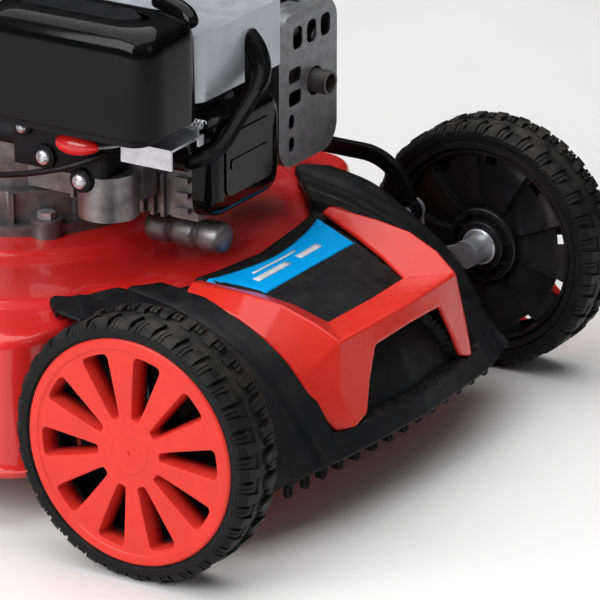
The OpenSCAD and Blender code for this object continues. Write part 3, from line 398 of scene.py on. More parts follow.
class Build:
    """Collects solids for one piece, in millimetres."""

    def __init__(self):
        self.mesh = bmesh.new()
        self.moves = None

    def solid(self, points, faces):
        """A solid, or a surface, from its points and faces."""
        verts = [self.mesh.verts.new(self.moves @ Vector(p) if self.moves else p) for p in points]
        for face in faces:
            corners = [verts[i] for i in face]
            if len(set(corners)) > 2:
                try:
                    self.mesh.faces.new(corners)
                except ValueError:
                    continue
        return self

    def block(self, x0, x1, y0, y1, z0, z1):
        points = [(x, y, z) for x in (x0, x1) for y in (y0, y1) for z in (z0, z1)]
        return self.solid(points, [(0, 1, 3, 2), (4, 6, 7, 5), (0, 4, 5, 1), (2, 3, 7, 6),
                                   (0, 2, 6, 4), (1, 5, 7, 3)])

    def loft(self, rings, caps=True, loop=False):
        """Closed rings of equally many points joined in order."""
        count = len(rings[0])
        points = [p for ring in rings for p in ring]
        steps = len(rings) if loop else len(rings) - 1
        faces = []
        for i in range(steps):
            a, b = i * count, (i + 1) % len(rings) * count
            faces += [(a + k, a + (k + 1) % count, b + (k + 1) % count, b + k) for k in range(count)]
        if caps and not loop:
            faces += [tuple(range(count - 1, -1, -1)), tuple((len(rings) - 1) * count + k
                                                            for k in range(count))]
        return self.solid(points, faces)

    def turned(self, profile, centre, axis="x", sides=48, loop=True):
        """A profile of (along, radius) turned round an axis through centre."""
        def place(along, r, a):
            across = (r * cos(a), r * sin(a))
            offset = {"x": (along, *across), "y": (across[0], along, across[1]),
                      "z": (*across, along)}[axis]
            return tuple(c + o for c, o in zip(centre, offset))
        rings = [[place(along, max(r, 0.01), 2 * pi * k / sides) for k in range(sides)]
                 for along, r in profile]
        return self.loft(rings, caps=not loop, loop=loop)

    def grid(self, rows, close=False):
        """An open sheet of rows of points."""
        count = len(rows[0])
        faces = []
        for i in range(len(rows) - 1):
            for k in range(count if close else count - 1):
                a, b = i * count, (i + 1) * count
                faces.append((a + k, a + (k + 1) % count, b + (k + 1) % count, b + k))
        return self.solid([p for row in rows for p in row], faces)

    def plate(self, outline, low, high, axis="z", holes=()):
        """A flat plate from an outline with holes, drawn out from low to high."""
        loops = [outline, *holes]
        flat = [p for loop in loops for p in loop]
        triangles = tessellate_polygon([[Vector((a, b, 0)) for a, b in loop] for loop in loops])
        lift = {"x": lambda a, b, h: (h, a, b), "y": lambda a, b, h: (a, h, b),
                "z": lambda a, b, h: (a, b, h)}[axis]
        count = len(flat)
        points = [lift(a, b, low) for a, b in flat] + [lift(a, b, high) for a, b in flat]
        faces = [tuple(t) for t in triangles] + [tuple(i + count for i in reversed(t))
                                                 for t in triangles]
        start = 0
        for loop in loops:
            n = len(loop)
            faces += [(start + k, start + (k + 1) % n, count + start + (k + 1) % n,
                       count + start + k) for k in range(n)]
            start += n
        return self.solid(points, faces)

    def tube(self, path, radius, sides=12, closed=False):
        """A round tube along points. The radius may be one number, or one for each point."""
        path = [Vector(p) for p in path]
        radii = radius if isinstance(radius, (list, tuple)) else [radius] * len(path)
        last = len(path) - 1
        side = None
        rings = []
        for i, (point, r) in enumerate(zip(path, radii)):
            ahead = path[(i + 1) % len(path)] if closed else path[min(i + 1, last)]
            behind = path[i - 1] if closed or i else path[0]
            along = (ahead - behind).normalized()
            if side is None:
                side = along.orthogonal().normalized()
            side = (side - along * side.dot(along)).normalized()
            up = along.cross(side)
            rings.append([point + r * (cos(2 * pi * k / sides) * side + sin(2 * pi * k / sides) * up)
                          for k in range(sides)])
        return self.loft(rings, loop=closed)

    def hex_bolt(self, centre, axis, size=5.5, height=5.0, washer=1.3):
        """A hexagon head with its flange, standing out along a signed axis."""
        sign = -1 if axis[0] == "-" else 1
        name = axis[-1]
        self.turned([(0, 0.1), (0, size * washer), (sign * 1.2, size * washer),
                     (sign * 1.6, size * 1.05), (sign * 1.6, 0.1)], centre, name, 24, loop=False)
        corner = size * 1.12
        return self.turned([(sign * 1.4, 0.1), (sign * 1.4, corner), (sign * (height - 0.8), corner),
                            (sign * height, corner * 0.88), (sign * height, 0.1)],
                           centre, name, 6, loop=False)

    def done(self, name, material, body, bevel=0.4, segments=2, angle=34, weld=True,
             thick=0.0, replaces=()):
        """Makes the piece, rounds its edges and sets it on its body."""
        if weld:
            bmesh.ops.remove_doubles(self.mesh, verts=self.mesh.verts, dist=0.0005)
        bmesh.ops.recalc_face_normals(self.mesh, faces=self.mesh.faces)
        for vert in self.mesh.verts:
            vert.co = at(*vert.co)
        data = bpy.data.meshes.new(name)
        self.mesh.to_mesh(data)
        self.mesh.free()
        data.materials.append(material)
        for polygon in data.polygons:
            polygon.use_smooth = True
        piece = bpy.data.objects.new(name, data)
        bpy.context.scene.collection.objects.link(piece)
        if thick:
            sheet = piece.modifiers.new("sheet", "SOLIDIFY")
            sheet.thickness = thick * MM
            sheet.offset = -1
        if bevel:
            rounding = piece.modifiers.new("rounded edges", "BEVEL")
            rounding.width = bevel * MM
            rounding.segments = segments
            rounding.limit_method = "ANGLE"
            rounding.angle_limit = radians(angle)
            rounding.harden_normals = True
            rounding.miter_outer = "MITER_ARC"
        else:
            data.set_sharp_from_angle(angle=radians(angle))
        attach(piece, body)
        if replaces:
            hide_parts(*replaces)
        return piece


def smooth_line(points, steps=6):
    """Points joined by a smooth curve through all of them."""
    points = [Vector(p) for p in points]
    result = []
    for i in range(len(points) - 1):
        a, b = points[max(i - 1, 0)], points[i]
        c, d = points[i + 1], points[min(i + 2, len(points) - 1)]
        for k in range(steps):
            t = k / steps
            result.append(0.5 * (2 * b + (c - a) * t + (2 * a - 5 * b + 4 * c - d) * t * t
                                 + (3 * b - a - 3 * c + d) * t * t * t))
    return result + [points[-1]]


def rounded(corners, radius, steps=5):
    """A polygon with its corners rounded. The radius may be one number or one for each corner."""
    radii = radius if isinstance(radius, (list, tuple)) else [radius] * len(corners)
    result = []
    for i, (corner, r) in enumerate(zip(corners, radii)):
        p = Vector(corner)
        before = Vector(corners[i - 1]) - p
        after = Vector(corners[(i + 1) % len(corners)]) - p
        cut = min(r, before.length * 0.49, after.length * 0.49)
        a, b = p + before.normalized() * cut, p + after.normalized() * cut
        for k in range(steps + 1):
            t = k / steps
            result.append(tuple(a * (1 - t) ** 2 + p * 2 * t * (1 - t) + b * t * t))
    return result


def box_outline(x0, x1, y0, y1, radius, steps=5):
    return rounded([(x0, y0), (x1, y0), (x1, y1), (x0, y1)], radius, steps)


def round_hole(x, y, r, sides=24):
    return [(x + r * cos(2 * pi * k / sides), y + r * sin(2 * pi * k / sides)) for k in range(sides)]


def lookup(value, table, column):
    """A column of a table, read smoothly at a value of its first column."""
    rows = [row for row in table]
    if value <= rows[0][0]:
        return rows[0][column]
    if value >= rows[-1][0]:
        return rows[-1][column]
    i = max(k for k in range(len(rows) - 1) if rows[k][0] <= value)
    a, b = rows[max(i - 1, 0)], rows[i]
    c, d = rows[i + 1], rows[min(i + 2, len(rows) - 1)]
    width = c[0] - b[0]
    t = (value - b[0]) / width
    slope_b = (c[column] - a[column]) / (c[0] - a[0]) * width
    slope_c = (d[column] - b[column]) / (d[0] - b[0]) * width
    return ((2 * t ** 3 - 3 * t ** 2 + 1) * b[column] + (t ** 3 - 2 * t ** 2 + t) * slope_b
            + (3 * t ** 2 - 2 * t ** 3) * c[column] + (t ** 3 - t ** 2) * slope_c)


def ease(value, start, end):
    """Rises smoothly from 0 at start to 1 at end."""
    t = max(0.0, min(1.0, (value - start) / (end - start)))
    return t * t * (3 - 2 * t)


# ---------- wheels ----------

CORNERS = (("front_right", -1, 0), ("front_left", 1, 0), ("rear_right", -1, 1), ("rear_left", 1, 1))


def wheel_frame(side, back):
    """Takes (outward, forward-up circle) points to the mower: local X is outward."""
    return Matrix.Translation((side * WHEEL_X, back * WHEELBASE, WHEEL_R)) @ Matrix.Diagonal(
        (side, -1, 1, 1))


def around(r, degrees):
    return r * cos(radians(degrees)), r * sin(radians(degrees))


def tread_block(build, turn, section, shoulder, valley, lean):
    """One lug: its section in (outward, radius), wider at the shoulder than at the valley."""
    low, high = min(u for u, r in section), max(u for u, r in section)
    sides = []
    for edge in (-1, 1):
        ring = []
        for u, r in section:
            share = (u - low) / (high - low)
            half = valley + (shoulder - valley) * share
            middle = turn + lean * share
            ring.append((u, *around(r, middle + edge * half)))
        sides.append(ring)
    build.loft(sides)


def tyre(name, side, back):
    settings = bpy.context.scene.mower_wheels
    h = settings.lug_height
    carcass = WHEEL_R - h
    half = HALF_TYRE
    build = Build()
    build.moves = wheel_frame(side, back)
    sidewall = [(half - 3.2, RIM_R), (half - 1.6, RIM_R + 0.3), (half - 1.9, RIM_R + 1.3),
                (half - 0.7, RIM_R + 1.9), (half - 0.1, RIM_R + 4.5), (half - 0.5, RIM_R + 7.2),
                (half - 2.2, carcass - 1.2), (half - 4.6, carcass - 0.2), (4.4, carcass + 0.6),
                (2.9, carcass + 1.9)]
    profile = sidewall + [(-u, r) for u, r in reversed(sidewall)]
    build.turned(profile, (0, 0, 0), "x", 128)
    pitch = 360 / settings.lug_count
    for row, start in ((1, 0.0), (-1, pitch / 2)):
        for i in range(settings.lug_count):
            turn = start + pitch * i
            large = [(3.8, carcass - 1), (3.8, WHEEL_R - 2.0), (5.6, WHEEL_R - 0.2),
                     (half - 5.5, WHEEL_R - 0.5), (half - 2.6, WHEEL_R - 2.3),
                     (half - 0.2, WHEEL_R - 5.6), (half - 0.1, RIM_R + 6.4), (half - 4, RIM_R + 6)]
            small = [(half - 13.5, carcass - 1), (half - 13.5, WHEEL_R - 2.6),
                     (half - 12, WHEEL_R - 1.2), (half - 6, WHEEL_R - 1.3),
                     (half - 3.2, WHEEL_R - 2.8), (half - 0.5, WHEEL_R - 5.4),
                     (half - 0.4, RIM_R + 7.4), (half - 4, RIM_R + 7)]
            tread_block(build, turn, [(u * row, r) for u, r in large], 1.6 if row < 0 else 2.75,
                        2.75 if row < 0 else 1.6, 2.0 * row)
            for gap, width in ((5.1, 0.75), (7.1, 0.75)):
                tread_block(build, turn + gap, [(u * row, r) for u, r in small], width, width,
                            0.9 * row)
            # Slivers inside the hub, no part of the tread. The rounding below is clamped to
            # them on some tyres, so taking them out changes the shape of the lugs.
            if i % 2 == 0:
                build.block(row * 0.2, row * 2.6, -0.001, 0.001, -0.001, 0.001)
    # Thin raised bars on both walls
    for face in (-1, 1):
        for i in range(12):
            start = i * 30 + 4
            rings = []
            for k in range(9):
                a = start + 2.6 * k
                rings.append([(face * (half - 1.2), *around(RIM_R + 5.1, a)),
                              (face * (half + 0.1), *around(RIM_R + 5.3, a)),
                              (face * (half + 0.1), *around(RIM_R + 6.1, a)),
                              (face * (half - 1.2), *around(RIM_R + 6.4, a))])
            build.loft(rings)
    node = name + "_tyre"
    return build.done(name + "_tread", tyre_rubber(), name + "_wheel", bevel=0.35,
                      segments=2, angle=30, weld=False, replaces=[node])


def pocket_half(r, inner, outer):
    """Half width of a cap's opening at radius r, rounded at both ends."""
    share = (r - inner) / (outer - inner)
    width = 3.4 + 9.0 * share ** 0.9
    soft_in, soft_out = 2.6, 4.6
    if r < inner + soft_in:
        width -= soft_in - sqrt(max(0, soft_in ** 2 - (inner + soft_in - r) ** 2))
    if r > outer - soft_out:
        width -= soft_out - sqrt(max(0, soft_out ** 2 - (r - outer + soft_out) ** 2))
    return width


def inset(loop, distance):
    """A loop of (a, b) points moved inward."""
    area = sum(p[0] * q[1] - q[0] * p[1] for p, q in zip(loop, loop[1:] + loop[:1]))
    sign = 1 if area > 0 else -1
    result = []
    for i, p in enumerate(loop):
        before, after = Vector(loop[i - 1]), Vector(loop[(i + 1) % len(loop)])
        along = (after - before).normalized()
        result.append((p[0] - sign * along.y * distance, p[1] + sign * along.x * distance))
    return result


def cap(name, side, back):
    settings = bpy.context.scene.mower_wheels
    build = Build()
    build.moves = wheel_frame(side, back)
    face = HALF_TYRE
    inner, outer = 25.5, 75.0
    sector = 360 / settings.spokes
    across = 4

    def level(r):
        rise = 0.9 * ease(r, 78.6, 77.2) + 1.5 * ease(r, 84.2, RIM_R)
        hub = 0.7 * ease(r, 17.0, 15.6) - 0.5 * ease(r, 15.4, 13.0) + 0.8 * ease(r, 13, 0)
        return face - 0.3 - rise + 1.1 * (1 - (r / RIM_R) ** 2) * 0.6 + hub * 0.6

    ends = [0.0, 0.25, 0.9, 1.8, 2.6]
    window = ([inner + e for e in ends] + [inner + 2.6 + (outer - inner - 7.2) * k / 9
                                          for k in range(1, 10)]
              + [outer - e for e in (4.6, 3.4, 2.2, 1.1, 0.35, 0.0)])
    window = sorted(set(round(r, 3) for r in window))
    rows = ([0.6, 3, 6, 9, 11, 13, 14.2, 15.4, 15.8, 16.2, 16.8, 17.4, 19, 22] + window
            + [76.2, 77.2, 77.7, 78.2, 78.7, 80.5, 83, 84.2, 84.9, 85.5, RIM_R - 0.15])
    for i in range(settings.spokes):
        middle = i * sector + 5
        lines = []
        for r in rows:
            clamped = min(max(r, inner), outer)
            half = pocket_half(clamped, inner, outer)
            opening = min(half / max(r, 12), 0.9 * radians(sector / 2)) * 180 / pi
            angles = ([-sector / 2 + (sector / 2 - opening) * k / across for k in range(across)]
                      + [-opening + 2 * opening * k / across for k in range(across)]
                      + [opening + (sector / 2 - opening) * k / across for k in range(across + 1)])
            lines.append([(level(r), *around(r, middle + a)) for a in angles])
        for first, second, r0, r1 in zip(lines, lines[1:], rows, rows[1:]):
            if r0 >= inner and r1 <= outer:
                build.grid([first[:across + 1], second[:across + 1]])
                build.grid([first[2 * across:], second[2 * across:]])
            else:
                build.grid([first, second])
        shown = [r for r in rows if inner <= r <= outer]
        left = [lines[rows.index(r)][across] for r in shown]
        right = [lines[rows.index(r)][2 * across] for r in shown]
        top = lines[rows.index(shown[-1])][across + 1:2 * across]
        bottom = lines[rows.index(shown[0])][across + 1:2 * across]
        edge = left + top + list(reversed(right)) + list(reversed(bottom))
        flat = [(p[1], p[2]) for p in edge]
        tops = [p[0] for p in edge]
        depth = settings.pocket
        rings = []
        for move, drop in ((0, 0), (0.45, 0.25), (0.7, 0.9), (1.5, depth * 0.5), (2.4, depth)):
            loop = inset(flat, move) if move else flat
            rings.append([(u - drop, *p) for u, p in zip(tops, loop)])
        build.grid(rings, close=True)
    build.turned([(0.5, 0.01), (0.9, 0.5), (0.5, 1.0), (0, 1.1)], (level(0), 0, 0), "x", 12, False)
    node = name + "_cap"
    piece = build.done(name + "_face", wheel_red(), name + "_wheel", bevel=0,
                       angle=38, replaces=[node])
    shell = piece.modifiers.new("wall", "SOLIDIFY")
    shell.thickness = 1.8 * MM
    shell.offset = -1
    return piece


def spoke_point(r, w, turn):
    """A point at radius r and sideways distance w on the spoke at an angle."""
    ahead, across = around(r, turn * 180 / pi), around(w, turn * 180 / pi + 90)
    return ahead[0] + across[0], ahead[1] + across[1]


def rim(name, side, back):
    settings = bpy.context.scene.mower_wheels
    build = Build()
    build.moves = wheel_frame(side, back)
    inside = -HALF_TYRE
    r = RIM_R - 0.1
    build.turned([(inside + 2.4, r), (inside + 0.9, r - 0.6), (inside + 0.7, r - 4.6),
                  (inside + 2.2, r - 5.6), (inside + 9, r - 6.2), (HALF_TYRE - 7, r - 4.4),
                  (HALF_TYRE - 7, r)], (0, 0, 0), "x", 96)
    # Dark web behind the cap's openings
    sector = 360 / settings.spokes
    radii = [25.7 + 49 * k / 12 for k in range(13)]
    holes = []
    for i in range(settings.spokes):
        edge = [(r, pocket_half(r, 25.5, 75) - 2.3) for r in radii[1:-1]]
        loop = [(r, w) for r, w in edge] + [(r, -w) for r, w in reversed(edge)]
        turn = radians(i * sector + 5)
        holes.append([spoke_point(r, w, turn) for r, w in loop])
    build.plate([around(RIM_R - 6, 3 * k) for k in range(120)], HALF_TYRE - 18.4,
                HALF_TYRE - 17, "x", holes)
    # Groove ring between the rim's lip and its vanes
    build.turned([(inside + 8, r - 5), (inside + 4.2, r - 8), (inside + 4.0, r - 10),
                  (inside + 9, r - 11), (inside + 11, r - 8)], (0, 0, 0), "x", 96)
    # Hub with its flange, ring and boss
    build.turned([(inside + 12, 30), (inside + 5.5, 30), (inside + 4.6, 29), (inside + 4.6, 25.6),
                  (inside + 8.5, 24.6), (inside + 8.5, 20.6), (inside + 3.0, 19.6),
                  (inside + 2.2, 18.6), (inside + 2.2, 10), (inside + 14, 9)], (0, 0, 0), "x", 64)
    for i in range(8):
        a = i * 45 + 12
        rings = [[(inside + 5.4, *around(20, a + d)), (inside + 5.4, *around(26, a + d)),
                  (inside + 10, *around(26, a + d)), (inside + 10, *around(20, a + d))]
                 for d in (-2, 2)]
        build.loft(rings)
    build.done(name + "_barrel", wheel_black(), name + "_wheel", bevel=0.5,
               replaces=[name + "_rim"])
    # Fan of ramps, each with a steep edge and an opening behind the cap's
    vanes = Build()
    vanes.moves = wheel_frame(side, back)
    radii = [28, 34, 42, 50, 58, 62, 66, 70, 74, 76.5]
    steps = [0, 0.6, 1.4, 6, 12, 18, 24, 27, 31, 34, sector - 0.01]
    for i in range(settings.spokes):
        first = i * sector - 14

        def level(r, a):
            ramp = 1 - (a - 1.4) / (sector - 1.4) if a > 1.4 else ease(a, 0, 1.4)
            rise = 7.5 * ramp * ease(r, 27, 40) * (1 - 0.5 * ease(r, 66, 76))
            return inside + 13 - rise
        for r0, r1 in zip(radii, radii[1:]):
            for a0, a1 in zip(steps, steps[1:]):
                if r0 >= 66 and r1 <= 74 and a0 >= 24 and a1 <= 34:
                    continue
                vanes.grid([[(level(r0, a0), *around(r0, first + a0)),
                             (level(r0, a1), *around(r0, first + a1))],
                            [(level(r1, a0), *around(r1, first + a0)),
                             (level(r1, a1), *around(r1, first + a1))]])
    piece = vanes.done(name + "_vanes", wheel_black(), name + "_wheel", bevel=0,
                       angle=25)
    shell = piece.modifiers.new("wall", "SOLIDIFY")
    shell.thickness = 2.2 * MM
    shell.offset = 0
    edge = piece.modifiers.new("rounded edges", "BEVEL")
    edge.width = 0.35 * MM
    edge.segments = 2
    edge.limit_method = "ANGLE"
    edge.angle_limit = radians(28)
    edge.harden_normals = True
    return piece


def washer(name, side, back):
    build = Build()
    build.moves = wheel_frame(side, back)
    inside = -HALF_TYRE
    build.turned([(inside + 2.0, 8.6), (inside + 0.4, 8.6), (inside - 0.6, 9.6),
                  (inside - 0.8, 13.4), (inside + 0.1, 14.6), (inside + 1.0, 14.7),
                  (inside + 2.0, 14.2)], (0, 0, 0), "x", 48)
    return build.done(name + "_washer", zinc_steel(), name + "_wheel", bevel=0.25)


# ---------- nose cover ----------

# The moulding's outer surface at seven distances from the middle: eight (y, z) points
# from the back edge to the lower lip
COVER_ROWS = (
    (0, 58, 158, 18, 155, -22, 144, -50, 131, -66, 112, -76, 92, -83, 74, -88, 57),
    (88, 66, 162, 22, 155, -20, 139.5, -46, 121, -62, 99, -70, 82, -77, 68, -83, 57),
    (112, 84, 161, 42, 156, 2, 143, -26, 125, -48, 101, -61, 82, -71, 67, -79, 56),
    (135, 103, 161, 60, 153, 18, 138, -12, 120, -37, 97, -53, 78, -64, 64, -72, 54),
    (160, 124, 157, 78, 149, 34, 133, 2, 113, -24, 90, -41, 71, -53, 58, -62, 50),
    (172, 132, 159, 88, 152, 42, 135, 9, 112, -17, 87, -34, 68, -47, 55, -57, 46),
    (190, 115, 156, 76, 149, 42, 131, 8, 108, -14, 84, -27, 62, -37, 50, -48, 41))
# Distance of the trim's inner edge from the middle, at heights down the nose
TRIM_INNER = ((164, 84), (156, 69), (147, 61), (135, 56), (120, 50), (100, 60), (80, 70), (72, 74))
TRIM_OUTER = 108


def nose_at(x, t, lift=0.0):
    """A point of the nose at distance x and row t, raised along the outward slope."""
    rows = [Vector((lookup(abs(x), COVER_ROWS, 1 + 2 * k), lookup(abs(x), COVER_ROWS, 2 + 2 * k)))
            for k in range(8)]
    i = min(int(t), 6)
    a, b, c, d = rows[max(i - 1, 0)], rows[i], rows[i + 1], rows[min(i + 2, 7)]
    u = t - i
    p = 0.5 * (2 * b + (c - a) * u + (2 * a - 5 * b + 4 * c - d) * u * u
               + (3 * b - a - 3 * c + d) * u * u * u)
    run = (c - b).normalized()
    return Vector((x, p.x + lift * run.y, p.y - lift * run.x))


def nose_relief(x, z):
    """Depth of the sunk window, the recess under the bar and the grooves beside the trim."""
    x = abs(x)
    inner = lookup(-z, [(-height, edge) for height, edge in TRIM_INNER], 1)
    depth = 0.0
    if z > 72:
        under = ease(x, inner - 1, inner + 3) * (1 - ease(x, TRIM_OUTER - 7, TRIM_OUTER - 2))
        depth -= 7 * under
    window = (1 - ease(x, inner - 2, inner + 2)) * ease(z, 129, 133)
    depth -= 2.5 * window
    recess = (1 - ease(x, inner - 3, inner)) * ease(z, 72, 75) * (1 - ease(z, 121, 126))
    depth -= 9 * recess
    depth -= 2.6 * ease(x, 124, 126.5) * (1 - ease(x, 127.5, 131))
    depth += 1.8 * ease(x, 151, 156)
    return depth


class MOWER_OT_nose_cover(bpy.types.Operator):
    """Black moulded nose with its sunk window, recess, side steps and rolled lip"""
    bl_idname = "mower.nose_cover"
    bl_label = "Nose Cover"

    def execute(self, context):
        build = Build()
        count = 150
        rows = []
        for i in range(count + 1):
            x = -190 + 380 * i / count
            row = []
            for k in range(85):
                t = 7 * k / 84
                plain = nose_at(x, t)
                row.append(nose_at(x, t, nose_relief(x, plain.z)))
            tip = row[-1]
            row += [tip + Vector((0, 2.0, -3.0)), tip + Vector((0, 6.0, -4.0))]
            crown = row[0]
            row.insert(0, crown + Vector((0, 2.5, -1.6)))
            row.insert(0, crown + Vector((0, 3.0, -5.0)))
            rows.append(row)
        build.grid(rows)
        build.done("nose_cover", black_moulding(), "deck", bevel=0,
                   angle=50, thick=2.2, replaces=("front_cover",))
        return {"FINISHED"}


def trim_half(build, side):
    """One leg of the frame with its horn, and half of the bar."""
    inner = [(87, 59, 161.5), (79, 38, 157.5), (70, 16, 153.5), (61, -10, 146), (55, -32.7, 136)]
    ridge = [(97, 59, 163), (95.5, 39, 162), (94, 14, 161.5), (92.5, -16, 158), (89, -42, 148.5)]
    outer = [(109, 57, 159), (110, 40, 155), (111, 12, 148.5), (111.5, -12, 137), (111, -32, 122)]
    corner, bar_top, mid_top = (84, -62, 136), (47.5, -66, 138), (0, -68.5, 139.5)
    window = (0, -36.5, 137.5)
    bar_low, mid_low = (47.5, -70.5, 122), (0, -73.5, 125.7)
    elbow = (111, -44, 109)
    points = inner + ridge + outer + [corner, bar_top, mid_top, window, bar_low, mid_low, elbow]
    points += [(59, -73, 100), (90, -66, 102), (109, -57, 88),
               (69, -76.5, 77), (85, -76, 70.5), (98.5, -68, 70)]
    faces = []
    for k in range(4):
        faces += [(k, k + 1, 6 + k, 5 + k), (5 + k, 6 + k, 11 + k, 10 + k)]
    faces += [(4, 15, 9), (4, 18, 17, 16, 15), (15, 16, 19, 22, 23), (16, 17, 20, 19),
              (9, 15, 21, 14), (15, 23, 24, 21), (22, 25, 26, 23), (23, 26, 27, 24)]
    build.solid([(side * x, y, z) for x, y, z in points],
                [face if side > 0 else tuple(reversed(face)) for face in faces])


class MOWER_OT_nose_trim(bpy.types.Operator):
    """Glossy faceted frame on the nose, and the label between its horns"""
    bl_idname = "mower.nose_trim"
    bl_label = "Nose Trim"

    def execute(self, context):
        build = Build()
        trim_half(build, 1)
        trim_half(build, -1)
        build.done("nose_trim", trim_red(), "deck", bevel=2.2, segments=4,
                   angle=12, thick=4.5, replaces=("front_trim",))
        build = Build()
        rows = []
        for i in range(25):
            side = -1 + 2 * i / 24
            row = []
            for k in range(13):
                run = k / 12
                x = side * (66.5 + 17.5 * run)
                y = 15 + 44 * run - 13 * run * (1 - side * side)
                top = self.surface(x, y)
                row.append((x, y, top + 0.25))
            rows.append(row)
        build.grid(rows)
        build.done("nose_label", label_blue(), "deck", bevel=0, thick=0.3)
        build = Build()
        for shift, width, low, high in ((-30, 46, 0.36, 0.52), (22, 30, 0.36, 0.52),
                                        (-14, 60, 0.64, 0.7)):
            rows = []
            for i in range(9):
                x = shift + width * (i / 8 - 0.5)
                rows.append([(x, 15 + 44 * r - 8 * r, self.surface(x, 15 + 36 * r) + 0.7)
                             for r in (low, (low + high) / 2, high)])
            build.grid(rows)
        build.done("nose_label_marks", label_white(), "deck", bevel=0, thick=0.2)
        return {"FINISHED"}

    def surface(self, x, y):
        """Height of the window panel's surface at a point of its plan."""
        low, high = 0.0, 3.0
        for _ in range(14):
            middle = (low + high) / 2
            plain = nose_at(x, middle)
            if nose_at(x, middle, nose_relief(x, plain.z)).y > y:
                low = middle
            else:
                high = middle
        plain = nose_at(x, low)
        return nose_at(x, low, nose_relief(x, plain.z)).z


class MOWER_OT_nose_comb(bpy.types.Operator):
    """Row of rounded blades under the nose"""
    bl_idname = "mower.nose_comb"
    bl_label = "Nose Comb"

    def execute(self, context):
        build = Build()
        count = 14
        for i in range(count):
            x = -143 + 286 * i / (count - 1)
            front = -63 + abs(x) / 18
            build.plate(rounded([(x - 5, 48), (x + 5, 48), (x + 4.4, 31), (x - 4.4, 31)],
                                [0.6, 0.6, 4, 4], 6), front, -52, "y")
            build.plate(rounded([(x - 1, 46), (x + 1, 46), (x + 1, 33), (x - 1, 33)], 0.8, 2),
                        front - 1.2, front + 0.5, "y")
        build.plate(box_outline(-150, 150, 42, 47, 1.5), -58, -45, "y")
        build.done("nose_comb", matte_black(), "deck", bevel=0.5,
                   replaces=("front_comb",))
        return {"FINISHED"}


# ---------- deck ----------

CHAMBER_R = 226.0


def side_radius(a):
    """Distance from the blade's axis to the deck's side in direction a."""
    c = abs(cos(a)) / DECK_HALF
    d = abs(sin(a)) / (CRANK_Y - DECK_FRONT if sin(a) < 0 else DECK_BACK - CRANK_Y)
    return max((c ** 10 + d ** 10) ** -0.1, CHAMBER_R + 2)


class MOWER_OT_deck_shell(bpy.types.Operator):
    """Pressed steel deck: stepped engine pad, shallow dome, rolled shoulder and flange"""
    bl_idname = "mower.deck_shell"
    bl_label = "Deck Shell"

    def execute(self, context):
        build = Build()
        rings = []
        steps = 240
        for k in range(steps):
            a = 2 * pi * k / steps
            r = side_radius(a)
            edge = min(r - 22, 221)
            profile = [(47, PLATFORM_Z), (90, PLATFORM_Z), (133, PLATFORM_Z), (136.5, PLATFORM_Z - 0.8),
                       (138.5, PLATFORM_Z - 2.8), (141, PLATFORM_Z - 4), (144, PLATFORM_Z - 4.4),
                       (146.5, PLATFORM_Z - 5.6), (149, PLATFORM_Z - 6.6), (156, PLATFORM_Z - 7),
                       (185, PLATFORM_Z - 7.4), (edge - 12, PLATFORM_Z - 8),
                       (edge - 5, PLATFORM_Z - 8.6), (edge - 1, PLATFORM_Z - 10),
                       (edge + 3, PLATFORM_Z - 12.2), (edge + 7, PLATFORM_Z - 13.4),
                       (r - 10, PLATFORM_Z - 14), (r - 5, PLATFORM_Z - 15.4),
                       (r - 1.6, PLATFORM_Z - 18.5), (r, PLATFORM_Z - 24), (r + 0.3, 100),
                       (r + 0.3, 60), (r, 48), (r + 1.4, 45.4), (r + 4, 44.4), (r + 4, 41)]
            rings.append([(d * cos(a), CRANK_Y + d * sin(a), z) for d, z in profile])
        points = [p for ring in rings for p in ring]
        count = len(rings[0])
        faces = []
        for k in range(steps):
            a, b = k * count, (k + 1) % steps * count
            for m in range(count - 1):
                corners = (a + m, a + m + 1, b + m + 1, b + m)
                open_back = all(abs(points[c][0]) < TUNNEL_X - 2 and points[c][1] > CRANK_Y + 60
                                and points[c][2] < PLATFORM_Z - 15.6 for c in corners)
                if not open_back:
                    faces.append(corners)
        build.solid(points, faces)
        build.done("deck_shell", deck_paint(), "deck", bevel=0, angle=62, thick=2.0,
                   replaces=("deck",))
        build = Build()
        wide = TUNNEL_X
        for side in (-1, 1):
            build.plate(rounded([(DECK_BACK - 6, 148), (DECK_HI.y, 148), (DECK_HI.y, TAIL_Z),
                                 (DECK_BACK - 6, TAIL_Z)], [1, 8, 10, 1]),
                        side * (wide - 1) - 1, side * (wide - 1) + 1, "x")
        build.plate(rounded([(-BRACKET_X, DECK_BACK - 8), (BRACKET_X, DECK_BACK - 8),
                             (BRACKET_X, DECK_HI.y), (-BRACKET_X, DECK_HI.y)], [1, 1, 12, 12]),
                    148, 150)
        # The shelf ends at the chamber's wall, clear of the blade's circle
        wall = []
        for k in range(45):
            x = 176 - 8 * k
            reach = max(sqrt(max(0, (CHAMBER_R + 1) ** 2 - x * x)), CRANK_Y - DECK_FRONT - 1)
            wall.append((x, CRANK_Y - reach))
        build.plate([(-150, -44), (150, -44), (150, -20), (176, -20), *wall, (-176, -20),
                     (-150, -20)], SHELF_Z, SHELF_Z + 2)
        build.block(-150, 150, -44, -42, SHELF_Z - 10, SHELF_Z + 4)
        build.done("deck_tail", deck_paint(), "deck", bevel=0.5)
        return {"FINISHED"}


# ---------- engine ----------

